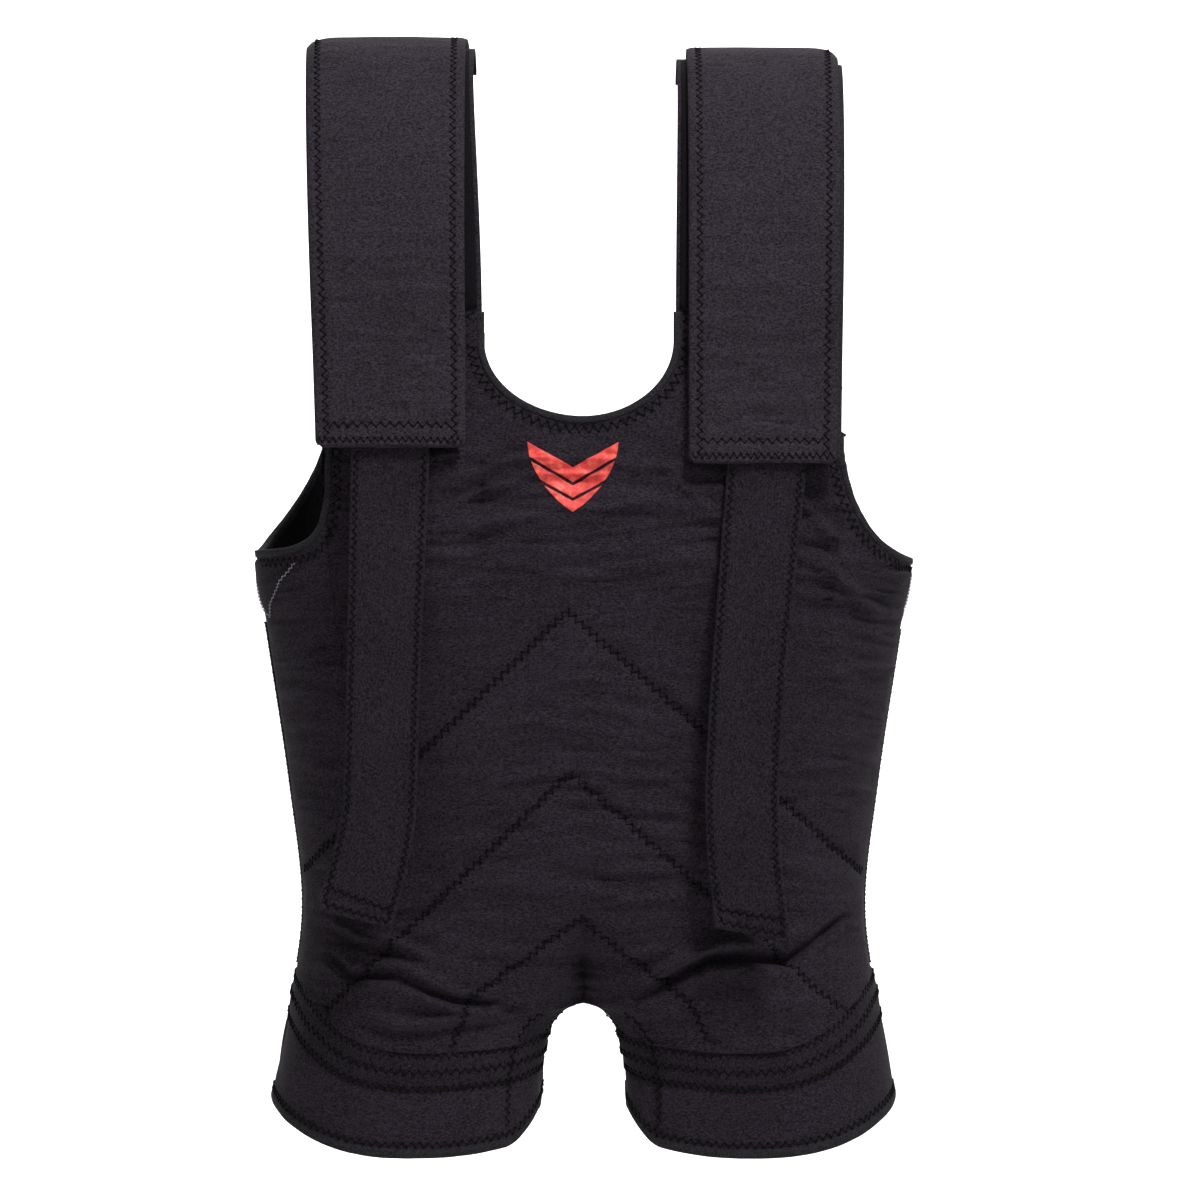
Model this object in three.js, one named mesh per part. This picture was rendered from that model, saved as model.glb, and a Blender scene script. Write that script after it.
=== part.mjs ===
// A quilted one-piece support suit for strength sport, in the shape it has when worn:
// a sleeveless trunk with short legs, and over each shoulder a wide strap whose flap is
// held on the chest by hook-and-loop, with a pull tail hanging from it.
// Millimetres, +Z up, the front faces -Y, the wearer's left is +X.

import * as THREE from 'three';

const { lerp, clamp, degToRad, smoothstep } = THREE.MathUtils;

// ---- Driving dimensions. Heights are above the lowest point of the leg hems. ----

const ORIGIN_HEIGHT = 320;
const CLEARANCE = 0.4;
const SEAM_CLEARANCE = 0.9;

const FACE_CLOTH = 2.6;
const LINING_CLOTH = 1.6;
const LEG_CLOTH = 3.6;
const BINDING_CLOTH = 1.2;
const BINDING_WIDTH = 8;
// Tapes and bindings stand clear of the faceted cloth, more so where it curves tightly.
const SKIN_LIFT = 1;
const CURVE_LIFT = 1.2;
const UNDERARM_PATCH_DEPTH = 30;
const UNDERARM_PATCH_POINT = 3;
const UNDERARM_PATCH_START = 0.62;
const SIDE_TAPE_WIDTH = 18;
const SIDE_TAPE_END_GAP = 4;

const CHEST_HALF_WIDTH = 217;
const ARMPIT_HEIGHT = 386;
const STRAP_SEAM_HEIGHT = 526;
const CROTCH_HEIGHT = 101;
const WAIST_HEIGHT = (ARMPIT_HEIGHT + CROTCH_HEIGHT) / 2 - 8.5;
const HIP_HEIGHT = lerp(CROTCH_HEIGHT, WAIST_HEIGHT, 0.4);
const RIB_HEIGHT = lerp(WAIST_HEIGHT, ARMPIT_HEIGHT, 0.66);
const GIRTHS = [
  { height: 0, halfWidth: CHEST_HALF_WIDTH - 5, front: 94, back: 98, squareness: 2.2 },
  { height: CROTCH_HEIGHT - 21, halfWidth: CHEST_HALF_WIDTH - 18, front: 98, back: 110, squareness: 2.3 },
  { height: HIP_HEIGHT, halfWidth: CHEST_HALF_WIDTH - 30, front: 106, back: 124, squareness: 2.4 },
  { height: WAIST_HEIGHT, halfWidth: CHEST_HALF_WIDTH - 23, front: 112, back: 112, squareness: 2.4 },
  { height: RIB_HEIGHT, halfWidth: CHEST_HALF_WIDTH - 8, front: 120, back: 109, squareness: 2.6 },
  { height: ARMPIT_HEIGHT, halfWidth: CHEST_HALF_WIDTH, front: 124, back: 111, squareness: 2.9 },
  { height: STRAP_SEAM_HEIGHT, halfWidth: CHEST_HALF_WIDTH, front: 112, back: 116, squareness: 3.6 },
];

const NECK_HALF_WIDTH = 62;
const FRONT_NECK_DROP = 50;
const BACK_NECK_DROP = 92;
const NECK_BINDING_SHARE = 0.93;
const ARMHOLE_OVERSHOOT = 5;
const ARMHOLE_TOP_HEIGHT = 466;

const CROTCH_HALF_DEPTH = 40;
const CROTCH_SEAM_DROP = 1.5;
const CROTCH_EDGE_RISE = 4;
const GUSSET_END_GAP = 3;
const GUSSET_SAG = 1;
const LEGS_JOIN_HEIGHT = CROTCH_HEIGHT + 59;
const LEG_HALF_GAP = 29;
const THIGH_SEAM_X = 46;
const THIGH_SEAM_TAPER = 0.2;
const INNER_THIGH_HEIGHT = 33;
const BAND_WIDTH = 25;
const BAND_TOP = { front: CROTCH_HEIGHT - INNER_THIGH_HEIGHT, outer: 47, inner: 10 };
const BAND_BOTTOM = { front: BAND_TOP.front - BAND_WIDTH, outer: 43, inner: 10 };
const HEM = { front: 0, outer: 30, inner: 24 };
const LEG_SEAM_SHAPE = { lowest: 0.35, outerPower: 2.6, innerPower: 1.3 };
const HEM_BINDING_HEIGHT = 6;
const HEM_BINDING_LIFT = 0.6;

const STRAP_WIDTH = 104;
const STRAP_CLOTH = 4;
const STRAP_RISE = 192;
const STRAP_CURL_ANGLE = 35;
const FRONT_STRAP_ANGLE = 108;
const STRAP_SETTLE_ANGLE = 160;
const PAD_WIDTH = 92;
const LOOP_PAD_ANGLES = [24, 72];
const PAD_CLOTH = 1.6;
const FLAP_WIDTH = 100;
const FLAP_CLOTH = 4;
const FLAP_SHIFT = 6;
const FLAP_KICK = 10;
const FLAP_END_HEIGHT = { left: 446, right: 456 };
const HINGE_ANGLE = 84;
const HINGE_GAP_ANGLE = 0.3;

const TAIL_WIDTH = 50;
const TAIL_CLOTH = 3.2;
const TAIL_LENGTH = 300;
const TAIL_LEAN = 14;
const TAIL_DRIFT = { left: -14, right: -22 };
const TAIL_ANCHOR_LENGTH = 30;

const EMBLEM = { halfWidth: 29, height: 45, top: 461, topCurve: 3, sideRise: 25, film: 0.4 };

// ---- Finishes ----

const cloth = (color, roughness) => new THREE.MeshStandardMaterial({ color, roughness, metalness: 0 });
const quiltCloth = cloth(0x28252b, 0.9);
const liningCloth = cloth(0x1b1a1e, 0.95);
const strapCloth = cloth(0x302c33, 0.9);
const webbing = cloth(0x29262c, 0.85);
const bindingTape = cloth(0x39373c, 0.8);
const hookAndLoop = cloth(0x141316, 1);
const redPrint = cloth(0xd8453f, 0.6);

// ---- The trunk and legs as one surface ----

// A smooth size at a height, from the girths above and below it.
function girthSize(height, size) {
  const last = GIRTHS.length - 1;
  let row = 1;
  while (row < last && height > GIRTHS[row].height) row += 1;
  const slope = (i) => {
    const above = GIRTHS[Math.min(i + 1, last)];
    const below = GIRTHS[Math.max(i - 1, 0)];
    return (above[size] - below[size]) / (above.height - below.height);
  };
  const low = GIRTHS[row - 1];
  const high = GIRTHS[row];
  const span = high.height - low.height;
  const t = clamp((height - low.height) / span, 0, 1);
  const ease = t * t * (3 - 2 * t);
  const leaveLow = t * (1 - t) * (1 - t) * span * slope(row - 1);
  const reachHigh = t * t * (t - 1) * span * slope(row);
  return lerp(low[size], high[size], ease) + leaveLow + reachHigh;
}

// Half the space between the legs.
function legGap(height) {
  return LEG_HALF_GAP * Math.sqrt(Math.max(0, 1 - (Math.max(0, height) / CROTCH_HEIGHT) ** 4));
}

// How far from the middle plane the inner thigh panel is sewn to the trunk panels.
function thighSeam(height) {
  const fall = clamp((height - BAND_TOP.front) / (CROTCH_HEIGHT - BAND_TOP.front), 0, 1);
  return legGap(height) + (THIGH_SEAM_X - LEG_HALF_GAP) * (1 - THIGH_SEAM_TAPER * fall ** 3);
}

function bulge(across, squareness) {
  return Math.max(0, 1 - Math.abs(across) ** squareness) ** (1 / squareness);
}

// Distance of the outer face from the plane y = 0, on the front (-1) or the back (1).
function clothDepth(side, x, height) {
  const halfWidth = girthSize(height, 'halfWidth');
  const squareness = girthSize(height, 'squareness');
  const reach = girthSize(height, side < 0 ? 'front' : 'back');
  const gap = legGap(height);
  const acrossLeg = (2 * Math.abs(x) - halfWidth - gap) / (halfWidth - gap);
  const roundLeg = bulge(acrossLeg, squareness);
  const leg = acrossLeg > 0 ? roundLeg : lerp(CROTCH_HALF_DEPTH / reach, 1, roundLeg);
  const trunk = bulge(x / halfWidth, squareness);
  return reach * lerp(leg, trunk, smoothstep(height, CROTCH_HEIGHT, LEGS_JOIN_HEIGHT));
}

// A point lifted off the outer face along its normal.
function clothPoint(side, x, height, lift, apart = 0) {
  const step = 0.02;
  const gap = legGap(height);
  const inside = clamp(Math.abs(x), gap + 2 * step, girthSize(height, 'halfWidth') - 2 * step);
  const rise = (dx, dz) => clothDepth(side, inside + dx, height + dz);
  const slopeAcross = (rise(step, 0) - rise(-step, 0)) / (2 * step);
  const slopeUp = (rise(0, step) - rise(0, -step)) / (2 * step);
  const normal = new THREE.Vector3(-Math.sign(x) * slopeAcross, side, -slopeUp).normalize();
  const point = new THREE.Vector3(x, side * (clothDepth(side, x, height) + apart), height);
  return point.addScaledVector(normal, lift);
}

// ---- Sheets of cloth as closed solids ----

// place(column, row, lift) gives the points; columns run round the body so that the
// outer face lies to the right of their way when seen from above.
function sheet(columns, rows, outerLift, thickness, place, closed = false) {
  const positions = [];
  for (const lift of [outerLift, outerLift - thickness]) {
    for (let i = 0; i < columns; i += 1) {
      for (let j = 0; j < rows; j += 1) positions.push(...place(i, j, lift).toArray());
    }
  }
  const outer = (i, j) => (i % columns) * rows + j;
  const inner = (i, j) => columns * rows + outer(i, j);
  const triangles = [];
  const quad = (a, b, c, d) => triangles.push(a, b, c, a, c, d);
  const spans = closed ? columns : columns - 1;
  for (let i = 0; i < spans; i += 1) {
    for (let j = 0; j < rows - 1; j += 1) {
      quad(outer(i, j), outer(i + 1, j), outer(i + 1, j + 1), outer(i, j + 1));
      quad(inner(i, j), inner(i, j + 1), inner(i + 1, j + 1), inner(i + 1, j));
    }
    quad(inner(i, 0), inner(i + 1, 0), outer(i + 1, 0), outer(i, 0));
    quad(outer(i, rows - 1), outer(i + 1, rows - 1), inner(i + 1, rows - 1), inner(i, rows - 1));
  }
  for (let j = 0; !closed && j < rows - 1; j += 1) {
    quad(inner(0, j), outer(0, j), outer(0, j + 1), inner(0, j + 1));
    quad(outer(spans, j), inner(spans, j), inner(spans, j + 1), outer(spans, j + 1));
  }
  const geometry = new THREE.BufferGeometry();
  geometry.setAttribute('position', new THREE.Float32BufferAttribute(positions, 3));
  geometry.setIndex(triangles);
  return geometry;
}

// A sheet on the trunk between a bottom and a top edge: each column has its side of the
// body and its [x, height] at both ends.
function trunkPatch(columns, rows, outerLift, thickness, apart = 0) {
  const across = ([x, height]) => x / girthSize(height, 'halfWidth');
  return sheet(columns.length, rows, outerLift, thickness, (i, j, lift) => {
    const { side, bottom, top } = columns[i];
    const t = j / (rows - 1);
    const height = lerp(bottom[1], top[1], t);
    const x = lerp(across(bottom), across(top), t) * girthSize(height, 'halfWidth');
    return clothPoint(side, x, height, lift, apart);
  });
}

const count = (n, make) => Array.from({ length: n }, (_, k) => make(k, k / (n - 1)));
const mirrorPoint = ([x, height]) => [-x, height];

// The same solid on the other side of the body.
function mirrored(geometry) {
  const copy = geometry.clone().scale(-1, 1, 1);
  const order = copy.getIndex().array;
  for (let k = 0; k < order.length; k += 3) [order[k], order[k + 1]] = [order[k + 1], order[k]];
  return copy;
}

// ---- Outlines, from the middle of the body to its side ----

const strapInner = NECK_HALF_WIDTH;
const strapOuter = NECK_HALF_WIDTH + STRAP_WIDTH;
const armholeMiddle = CHEST_HALF_WIDTH + ARMHOLE_OVERSHOOT;
const crotchSeamTop = CROTCH_HEIGHT - CROTCH_SEAM_DROP;

// Every panel column runs from a point of the bottom edge to one of the top edge. Their
// numbers follow the sizes, so that the facets of a larger suit are no larger.
const NECK_COLUMNS = Math.round(NECK_HALF_WIDTH / 10) + 1;
const STRAP_COLUMNS = Math.round(STRAP_WIDTH / 26);
const ARMHOLE_COLUMNS = Math.round((armholeMiddle - strapOuter) / 7) + 1;
const CROTCH_SEAM_ROWS = 4;
const SIDE_COLUMNS = NECK_COLUMNS + STRAP_COLUMNS + ARMHOLE_COLUMNS - CROTCH_SEAM_ROWS;

function neckEdge(drop, t, grow = 0) {
  const angle = degToRad(90 * t);
  return [
    (NECK_HALF_WIDTH + grow) * Math.sin(angle),
    STRAP_SEAM_HEIGHT - CLEARANCE - (drop + grow) * Math.cos(angle),
  ];
}

function armholeEdge(t, grow = 0) {
  const reach = armholeMiddle - strapOuter + grow;
  const drop = ARMHOLE_TOP_HEIGHT - ARMPIT_HEIGHT + grow;
  const angle = t * Math.acos(ARMHOLE_OVERSHOOT / reach);
  return [armholeMiddle - reach * Math.cos(angle), ARMHOLE_TOP_HEIGHT - drop * Math.sin(angle)];
}

const armholeSteps = count(ARMHOLE_COLUMNS, (k, t) => t);

function topEdge(neckDrop) {
  const seam = STRAP_SEAM_HEIGHT - CLEARANCE;
  return [
    ...count(NECK_COLUMNS, (k, t) => neckEdge(neckDrop, t)),
    ...count(STRAP_COLUMNS, (k) => [lerp(strapInner, strapOuter, (k + 1) / STRAP_COLUMNS), seam]),
    ...armholeSteps.map((t) => armholeEdge(t)),
  ];
}

// The leg seams rise from the front of the thigh to both its sides: around is 0 at the
// inner thigh seam and 1 at the side; inward is 0 at that seam and 1 between the legs.
function legSeamHeight(seam, around, inward = 0) {
  const { lowest, outerPower, innerPower } = LEG_SEAM_SHAPE;
  if (around > lowest) {
    return seam.front + seam.outer * ((around - lowest) / (1 - lowest)) ** outerPower;
  }
  const way = (1 - around / lowest + inward) / 2;
  return seam.front + seam.inner * way ** innerPower;
}

function legSeamPoint(seam, around, raise = 0) {
  const height = legSeamHeight(seam, around) + raise;
  return [lerp(thighSeam(height), girthSize(height, 'halfWidth'), around), height];
}

const aroundThigh = count(SIDE_COLUMNS, (k, t) => Math.sin(degToRad(90 * t)));

function crotchSeamHeight(t) {
  return lerp(crotchSeamTop, legSeamHeight(BAND_TOP, 0) + SEAM_CLEARANCE, t);
}

function bottomEdge() {
  const beside = (height) => [thighSeam(height) + SEAM_CLEARANCE, height];
  return [
    [0, CROTCH_HEIGHT + CROTCH_EDGE_RISE],
    ...count(CROTCH_SEAM_ROWS, (k, t) => beside(crotchSeamHeight(t))).slice(0, -1),
    ...aroundThigh.map((around) => legSeamPoint(BAND_TOP, around, SEAM_CLEARANCE)),
  ];
}

// Columns of a whole front or back panel, in the order that sheet() wants.
function panelColumns(side, top, bottom) {
  const half = top.map((point, k) => ({ side, top: point, bottom: bottom[k] }));
  const otherHalf = half.slice(1).map((column) => ({
    side,
    top: mirrorPoint(column.top),
    bottom: mirrorPoint(column.bottom),
  }));
  const leftward = [...otherHalf.reverse(), ...half];
  return side < 0 ? leftward : leftward.reverse();
}

// ---- Trunk pieces ----

const PANEL_ROWS = 11;
const frontColumns = panelColumns(-1, topEdge(FRONT_NECK_DROP), bottomEdge());
const backColumns = panelColumns(1, topEdge(BACK_NECK_DROP), bottomEdge());
const liningLift = -FACE_CLOTH - CLEARANCE;
const skinLift = SKIN_LIFT + BINDING_CLOTH;

const facePanel = (columns) => trunkPatch(columns, PANEL_ROWS, 0, FACE_CLOTH, CLEARANCE / 2);
const lining = (columns) => trunkPatch(columns, PANEL_ROWS, liningLift, LINING_CLOTH, CLEARANCE / 2);

function neckBinding(side, drop) {
  const half = count(8, (k, t) => ({
    side,
    top: neckEdge(drop, NECK_BINDING_SHARE * t),
    bottom: neckEdge(drop, NECK_BINDING_SHARE * t, BINDING_WIDTH),
  }));
  const otherHalf = half.slice(1).map((column) => ({
    side,
    top: mirrorPoint(column.top),
    bottom: mirrorPoint(column.bottom),
  }));
  const leftward = [...otherHalf.reverse(), ...half];
  return trunkPatch(side < 0 ? leftward : leftward.reverse(), 2, skinLift, BINDING_CLOTH);
}

// Columns from the front of the left armhole under the arm to its back, on the same
// lines as the panels' own columns.
function underArm(firstStep, edges) {
  const steps = armholeSteps.slice(firstStep);
  const front = steps.map((t) => ({ side: -1, ...edges(t) }));
  const back = steps.map((t) => ({ side: 1, ...edges(t) })).reverse().slice(1);
  return [...front, ...back];
}

function armholeBinding() {
  const edges = (t) => ({ top: armholeEdge(t), bottom: armholeEdge(t, BINDING_WIDTH) });
  return trunkPatch(underArm(0, edges), 2, skinLift + CURVE_LIFT, BINDING_CLOTH);
}

function underarmPatch() {
  const firstStep = Math.round((ARMHOLE_COLUMNS - 1) * UNDERARM_PATCH_START);
  const start = armholeSteps[firstStep];
  const grow = BINDING_WIDTH + 2 * CLEARANCE;
  const edges = (t) => {
    const [x, height] = armholeEdge(t, grow);
    const patchDepth = lerp(UNDERARM_PATCH_POINT, UNDERARM_PATCH_DEPTH, (t - start) / (1 - start));
    return { top: [x, height], bottom: [x, height - patchDepth] };
  };
  return trunkPatch(underArm(firstStep, edges), 3, skinLift + 2 * CURVE_LIFT, BINDING_CLOTH);
}

// The tape bends at the heights of the panels' own rows, so that it follows their facets.
function sideTape() {
  const top = ARMPIT_HEIGHT - BINDING_WIDTH - UNDERARM_PATCH_DEPTH - SIDE_TAPE_END_GAP;
  const bottom = legSeamHeight(BAND_TOP, 1) + SIDE_TAPE_END_GAP;
  const panelBottom = legSeamHeight(BAND_TOP, 1) + SEAM_CLEARANCE;
  const panelHeights = count(PANEL_ROWS, (k, t) => lerp(panelBottom, ARMPIT_HEIGHT, t));
  const between = panelHeights.filter((height) => height > bottom && height < top);
  const heights = [bottom, ...between, top];
  return sheet(3, heights.length, skinLift, BINDING_CLOTH, (i, j, lift) => {
    const y = ((i - 1) * SIDE_TAPE_WIDTH) / 2;
    return new THREE.Vector3(girthSize(heights[j], 'halfWidth') + lift, y, heights[j]);
  });
}

function emblem() {
  const bottom = EMBLEM.top - EMBLEM.height;
  const columns = count(9, (k, t) => {
    const across = 2 * t - 1;
    return {
      side: -1,
      top: [across * EMBLEM.halfWidth, EMBLEM.top - EMBLEM.topCurve * across * across],
      bottom: [across * EMBLEM.halfWidth, bottom + EMBLEM.sideRise * across * across],
    };
  });
  return trunkPatch(columns, 3, SKIN_LIFT + EMBLEM.film, EMBLEM.film);
}

// ---- Left leg pieces ----

// Inner thigh columns, from the back seam round the inside of the leg to the front seam.
const inwardThigh = [
  { side: 1, inward: 0 },
  { side: 1, inward: 0.5 },
  { side: 1, inward: 1 },
  { side: -1, inward: 1 },
  { side: -1, inward: 0.5 },
  { side: -1, inward: 0 },
];

// The thickness is laid out level here, which keeps the crotch clear of the trunk panels.
function innerThighPoint({ side, inward }, height, lift) {
  const x = lerp(thighSeam(height), legGap(height), inward);
  const point = clothPoint(side, x, height, lift);
  point.z = height;
  return point;
}

function innerThighPanel() {
  return sheet(inwardThigh.length, CROTCH_SEAM_ROWS, 0, LEG_CLOTH, (i, j, lift) => {
    const t = 1 - j / (CROTCH_SEAM_ROWS - 1);
    const bottom = legSeamHeight(BAND_TOP, 0, inwardThigh[i].inward) + SEAM_CLEARANCE;
    const height = lerp(crotchSeamTop, bottom, t);
    return innerThighPoint(inwardThigh[i], height, lift);
  });
}

// A ring round the leg between two seams.
function legRing(lowSeam, lowRaise, highSeam, highRaise, outerLift, thickness) {
  const front = aroundThigh.map((around) => ({ side: -1, around }));
  const back = aroundThigh.map((around) => ({ side: 1, around })).reverse().slice(1);
  const ring = [...front, ...back, ...inwardThigh.slice(1, -1)];
  return sheet(ring.length, 2, outerLift, thickness, (i, j, lift) => {
    const { side, around = 0, inward = 0 } = ring[i];
    const seam = j ? highSeam : lowSeam;
    const height = legSeamHeight(seam, around, inward) + (j ? highRaise : lowRaise);
    if (inward > 0) return innerThighPoint(ring[i], height, lift);
    const x = lerp(thighSeam(height), girthSize(height, 'halfWidth'), around);
    return clothPoint(side, x, height, lift);
  }, true);
}

const legBand = () => legRing(BAND_BOTTOM, 0, BAND_TOP, 0, 0, LEG_CLOTH);

function legCuff() {
  const raise = HEM_BINDING_HEIGHT + SEAM_CLEARANCE;
  return legRing(HEM, raise, BAND_BOTTOM, -SEAM_CLEARANCE, 0, LEG_CLOTH);
}

function hemBinding() {
  const thickness = LEG_CLOTH + 2 * HEM_BINDING_LIFT;
  return legRing(HEM, 0, HEM, HEM_BINDING_HEIGHT, HEM_BINDING_LIFT, thickness);
}

function crotchGusset() {
  const halfWidth = legGap(crotchSeamTop) - CLEARANCE;
  const halfLength = CROTCH_HALF_DEPTH - GUSSET_END_GAP;
  return sheet(5, 5, 0, LEG_CLOTH, (i, j, lift) => {
    const across = (i - 2) / 2;
    const height = CROTCH_HEIGHT - GUSSET_SAG * across * across;
    return new THREE.Vector3(halfWidth * across, halfLength * (1 - j / 2), height - lift);
  });
}

// ---- Left shoulder pieces ----

// Lifts of the outer faces, from the front strap outwards.
const loopLift = CLEARANCE + PAD_CLOTH;
const hookLift = loopLift + CLEARANCE + PAD_CLOTH;
const flapLift = hookLift + CLEARANCE + FLAP_CLOTH;
const flapInnerLift = flapLift - FLAP_CLOTH;
const flapCentre = (strapInner + strapOuter) / 2 + FLAP_SHIFT;

const strapFront = girthSize(STRAP_SEAM_HEIGHT, 'front');
const strapBack = girthSize(STRAP_SEAM_HEIGHT, 'back');

// The strap's side view is half an ellipse: 0 at the front seam, 180 at the back seam.
function archPoint(x, angle, lift) {
  const turn = degToRad(angle);
  const radius = (strapFront + strapBack) / 2;
  const normal = new THREE.Vector3(0, -Math.cos(turn) / radius, Math.sin(turn) / STRAP_RISE);
  const y = (strapBack - strapFront) / 2 - radius * Math.cos(turn);
  const point = new THREE.Vector3(x, y, STRAP_SEAM_HEIGHT + STRAP_RISE * Math.sin(turn));
  return point.addScaledVector(normal.normalize(), lift);
}

// Near its seams the strap bends across its width to follow the trunk panel.
function strapCurl(x, angle) {
  const side = angle < 90 ? -1 : 1;
  const reach = side < 0 ? strapFront : strapBack;
  const fade = 1 - smoothstep(Math.min(angle, 180 - angle), 0, STRAP_CURL_ANGLE);
  return side * (clothDepth(side, x, STRAP_SEAM_HEIGHT) - reach) * fade;
}

// All the strap's layers turn the arch at the same angles, so that they lie flat together.
const ARCH_STEP = 12;

function archAngles(from, to) {
  const shared = count(180 / ARCH_STEP + 1, (k) => k * ARCH_STEP);
  return [from, ...shared.filter((angle) => angle > from && angle < to), to];
}

function strapSheet(from, to, inner, outer, liftAt, thickness) {
  const columns = 5;
  const angles = archAngles(from, to);
  return sheet(columns, angles.length, 0, thickness, (i, j, lift) => {
    const x = lerp(inner, outer, i / (columns - 1));
    const point = archPoint(x, angles[j], liftAt(angles[j]) + lift);
    point.y += strapCurl(x, angles[j]);
    return point;
  });
}

const padInner = (strapInner + strapOuter - PAD_WIDTH) / 2;
const padOuter = padInner + PAD_WIDTH;

const frontStrap = () => strapSheet(0, FRONT_STRAP_ANGLE, strapInner, strapOuter, () => 0, STRAP_CLOTH);
const loopPad = () => strapSheet(...LOOP_PAD_ANGLES, padInner, padOuter, () => loopLift, PAD_CLOTH);

function backStrap() {
  const settle = (angle) => flapLift * (1 - smoothstep(angle, FRONT_STRAP_ANGLE, STRAP_SETTLE_ANGLE));
  return strapSheet(HINGE_ANGLE, 180, strapInner, strapOuter, settle, STRAP_CLOTH);
}

// A point on the flap. Its station is an angle on the shoulder's arch, or below the
// strap seam a negative share, down to -1 at the flap's lower edge.
function flapPoint(end, x, station, lift) {
  if (station >= 0) return archPoint(x, station, lift);
  const fall = STRAP_SEAM_HEIGHT - end;
  const slope = (FLAP_KICK * 1.5 * Math.sqrt(-station)) / fall;
  const normal = new THREE.Vector3(0, -1, slope).normalize();
  const y = -strapFront - FLAP_KICK * (-station) ** 1.5;
  return new THREE.Vector3(x, y, STRAP_SEAM_HEIGHT + fall * station).addScaledVector(normal, lift);
}

function flapSheet(end, stations, width, outerLift, thickness) {
  const columns = 3;
  return sheet(columns, stations.length, outerLift, thickness, (i, j, lift) => {
    const x = flapCentre + width * (i / (columns - 1) - 0.5);
    return flapPoint(end, x, stations[j], lift);
  });
}

const belowSeam = [-1, -0.75, -0.5, -0.25];
const flapEndAngle = HINGE_ANGLE - HINGE_GAP_ANGLE;

function flap(end) {
  const stations = [...belowSeam, ...archAngles(0, flapEndAngle)];
  return flapSheet(end, stations, FLAP_WIDTH, flapLift, FLAP_CLOTH);
}

function hookPad(end) {
  const stations = [...belowSeam.slice(2), ...archAngles(0, flapEndAngle).slice(0, -1)];
  return flapSheet(end, stations, PAD_WIDTH, hookLift, PAD_CLOTH);
}

function tailAnchor(end) {
  const station = (above) => above / (STRAP_SEAM_HEIGHT - end) - 1;
  const low = station(2 * CLEARANCE);
  const high = station(TAIL_ANCHOR_LENGTH);
  const between = belowSeam.filter((share) => share > low && share < high);
  return flapSheet(end, [low, ...between, high], TAIL_WIDTH, flapInnerLift - CLEARANCE, TAIL_CLOTH);
}

// The free tail, hanging from the flap's lower edge; drift is how far its end strays
// sideways towards the left.
function tail(end, drift) {
  const rows = 11;
  const start = flapPoint(end, flapCentre, -1, flapInnerLift - CLEARANCE);
  return sheet(3, rows, 0, TAIL_CLOTH, (i, j, lift) => {
    const down = 1 - j / (rows - 1);
    const x = flapCentre + TAIL_WIDTH * (i / 2 - 0.5) + drift * down * down;
    const y = start.y - TAIL_LEAN * down - lift;
    return new THREE.Vector3(x, y, end - 2 * CLEARANCE - TAIL_LENGTH * down);
  });
}

// ---- Assembly ----

const suit = new THREE.Group();
suit.position.z = -ORIGIN_HEIGHT;

function add(name, geometry, material) {
  const mesh = new THREE.Mesh(geometry, material);
  mesh.name = name;
  suit.add(mesh);
}

// Adds the left piece and its mirror image on the right.
function addPair(name, make, material) {
  const geometry = make('left');
  add(`left_${name}`, geometry, material);
  add(`right_${name}`, mirrored(make('right')), material);
}

add('front_panel', facePanel(frontColumns), quiltCloth);
add('front_lining', lining(frontColumns), liningCloth);
add('back_panel', facePanel(backColumns), quiltCloth);
add('back_lining', lining(backColumns), liningCloth);
add('front_neck_binding', neckBinding(-1, FRONT_NECK_DROP), bindingTape);
add('back_neck_binding', neckBinding(1, BACK_NECK_DROP), bindingTape);
add('crotch_gusset', crotchGusset(), quiltCloth);
add('chest_emblem', emblem(), redPrint);

addPair('armhole_binding', armholeBinding, bindingTape);
addPair('underarm_patch', underarmPatch, webbing);
addPair('side_seam_tape', sideTape, webbing);
addPair('inner_thigh_panel', innerThighPanel, quiltCloth);
addPair('leg_band', legBand, webbing);
addPair('leg_cuff', legCuff, quiltCloth);
addPair('hem_binding', hemBinding, bindingTape);
addPair('front_strap', frontStrap, strapCloth);
addPair('loop_pad', loopPad, hookAndLoop);
addPair('back_strap', backStrap, strapCloth);
addPair('flap', (side) => flap(FLAP_END_HEIGHT[side]), strapCloth);
addPair('hook_pad', (side) => hookPad(FLAP_END_HEIGHT[side]), hookAndLoop);
addPair('tail_anchor', (side) => tailAnchor(FLAP_END_HEIGHT[side]), webbing);
addPair('tail', (side) => {
  const drift = side === 'left' ? TAIL_DRIFT.left : -TAIL_DRIFT.right;
  return tail(FLAP_END_HEIGHT[side], drift);
}, webbing);

export default suit;
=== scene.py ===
import math

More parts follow.
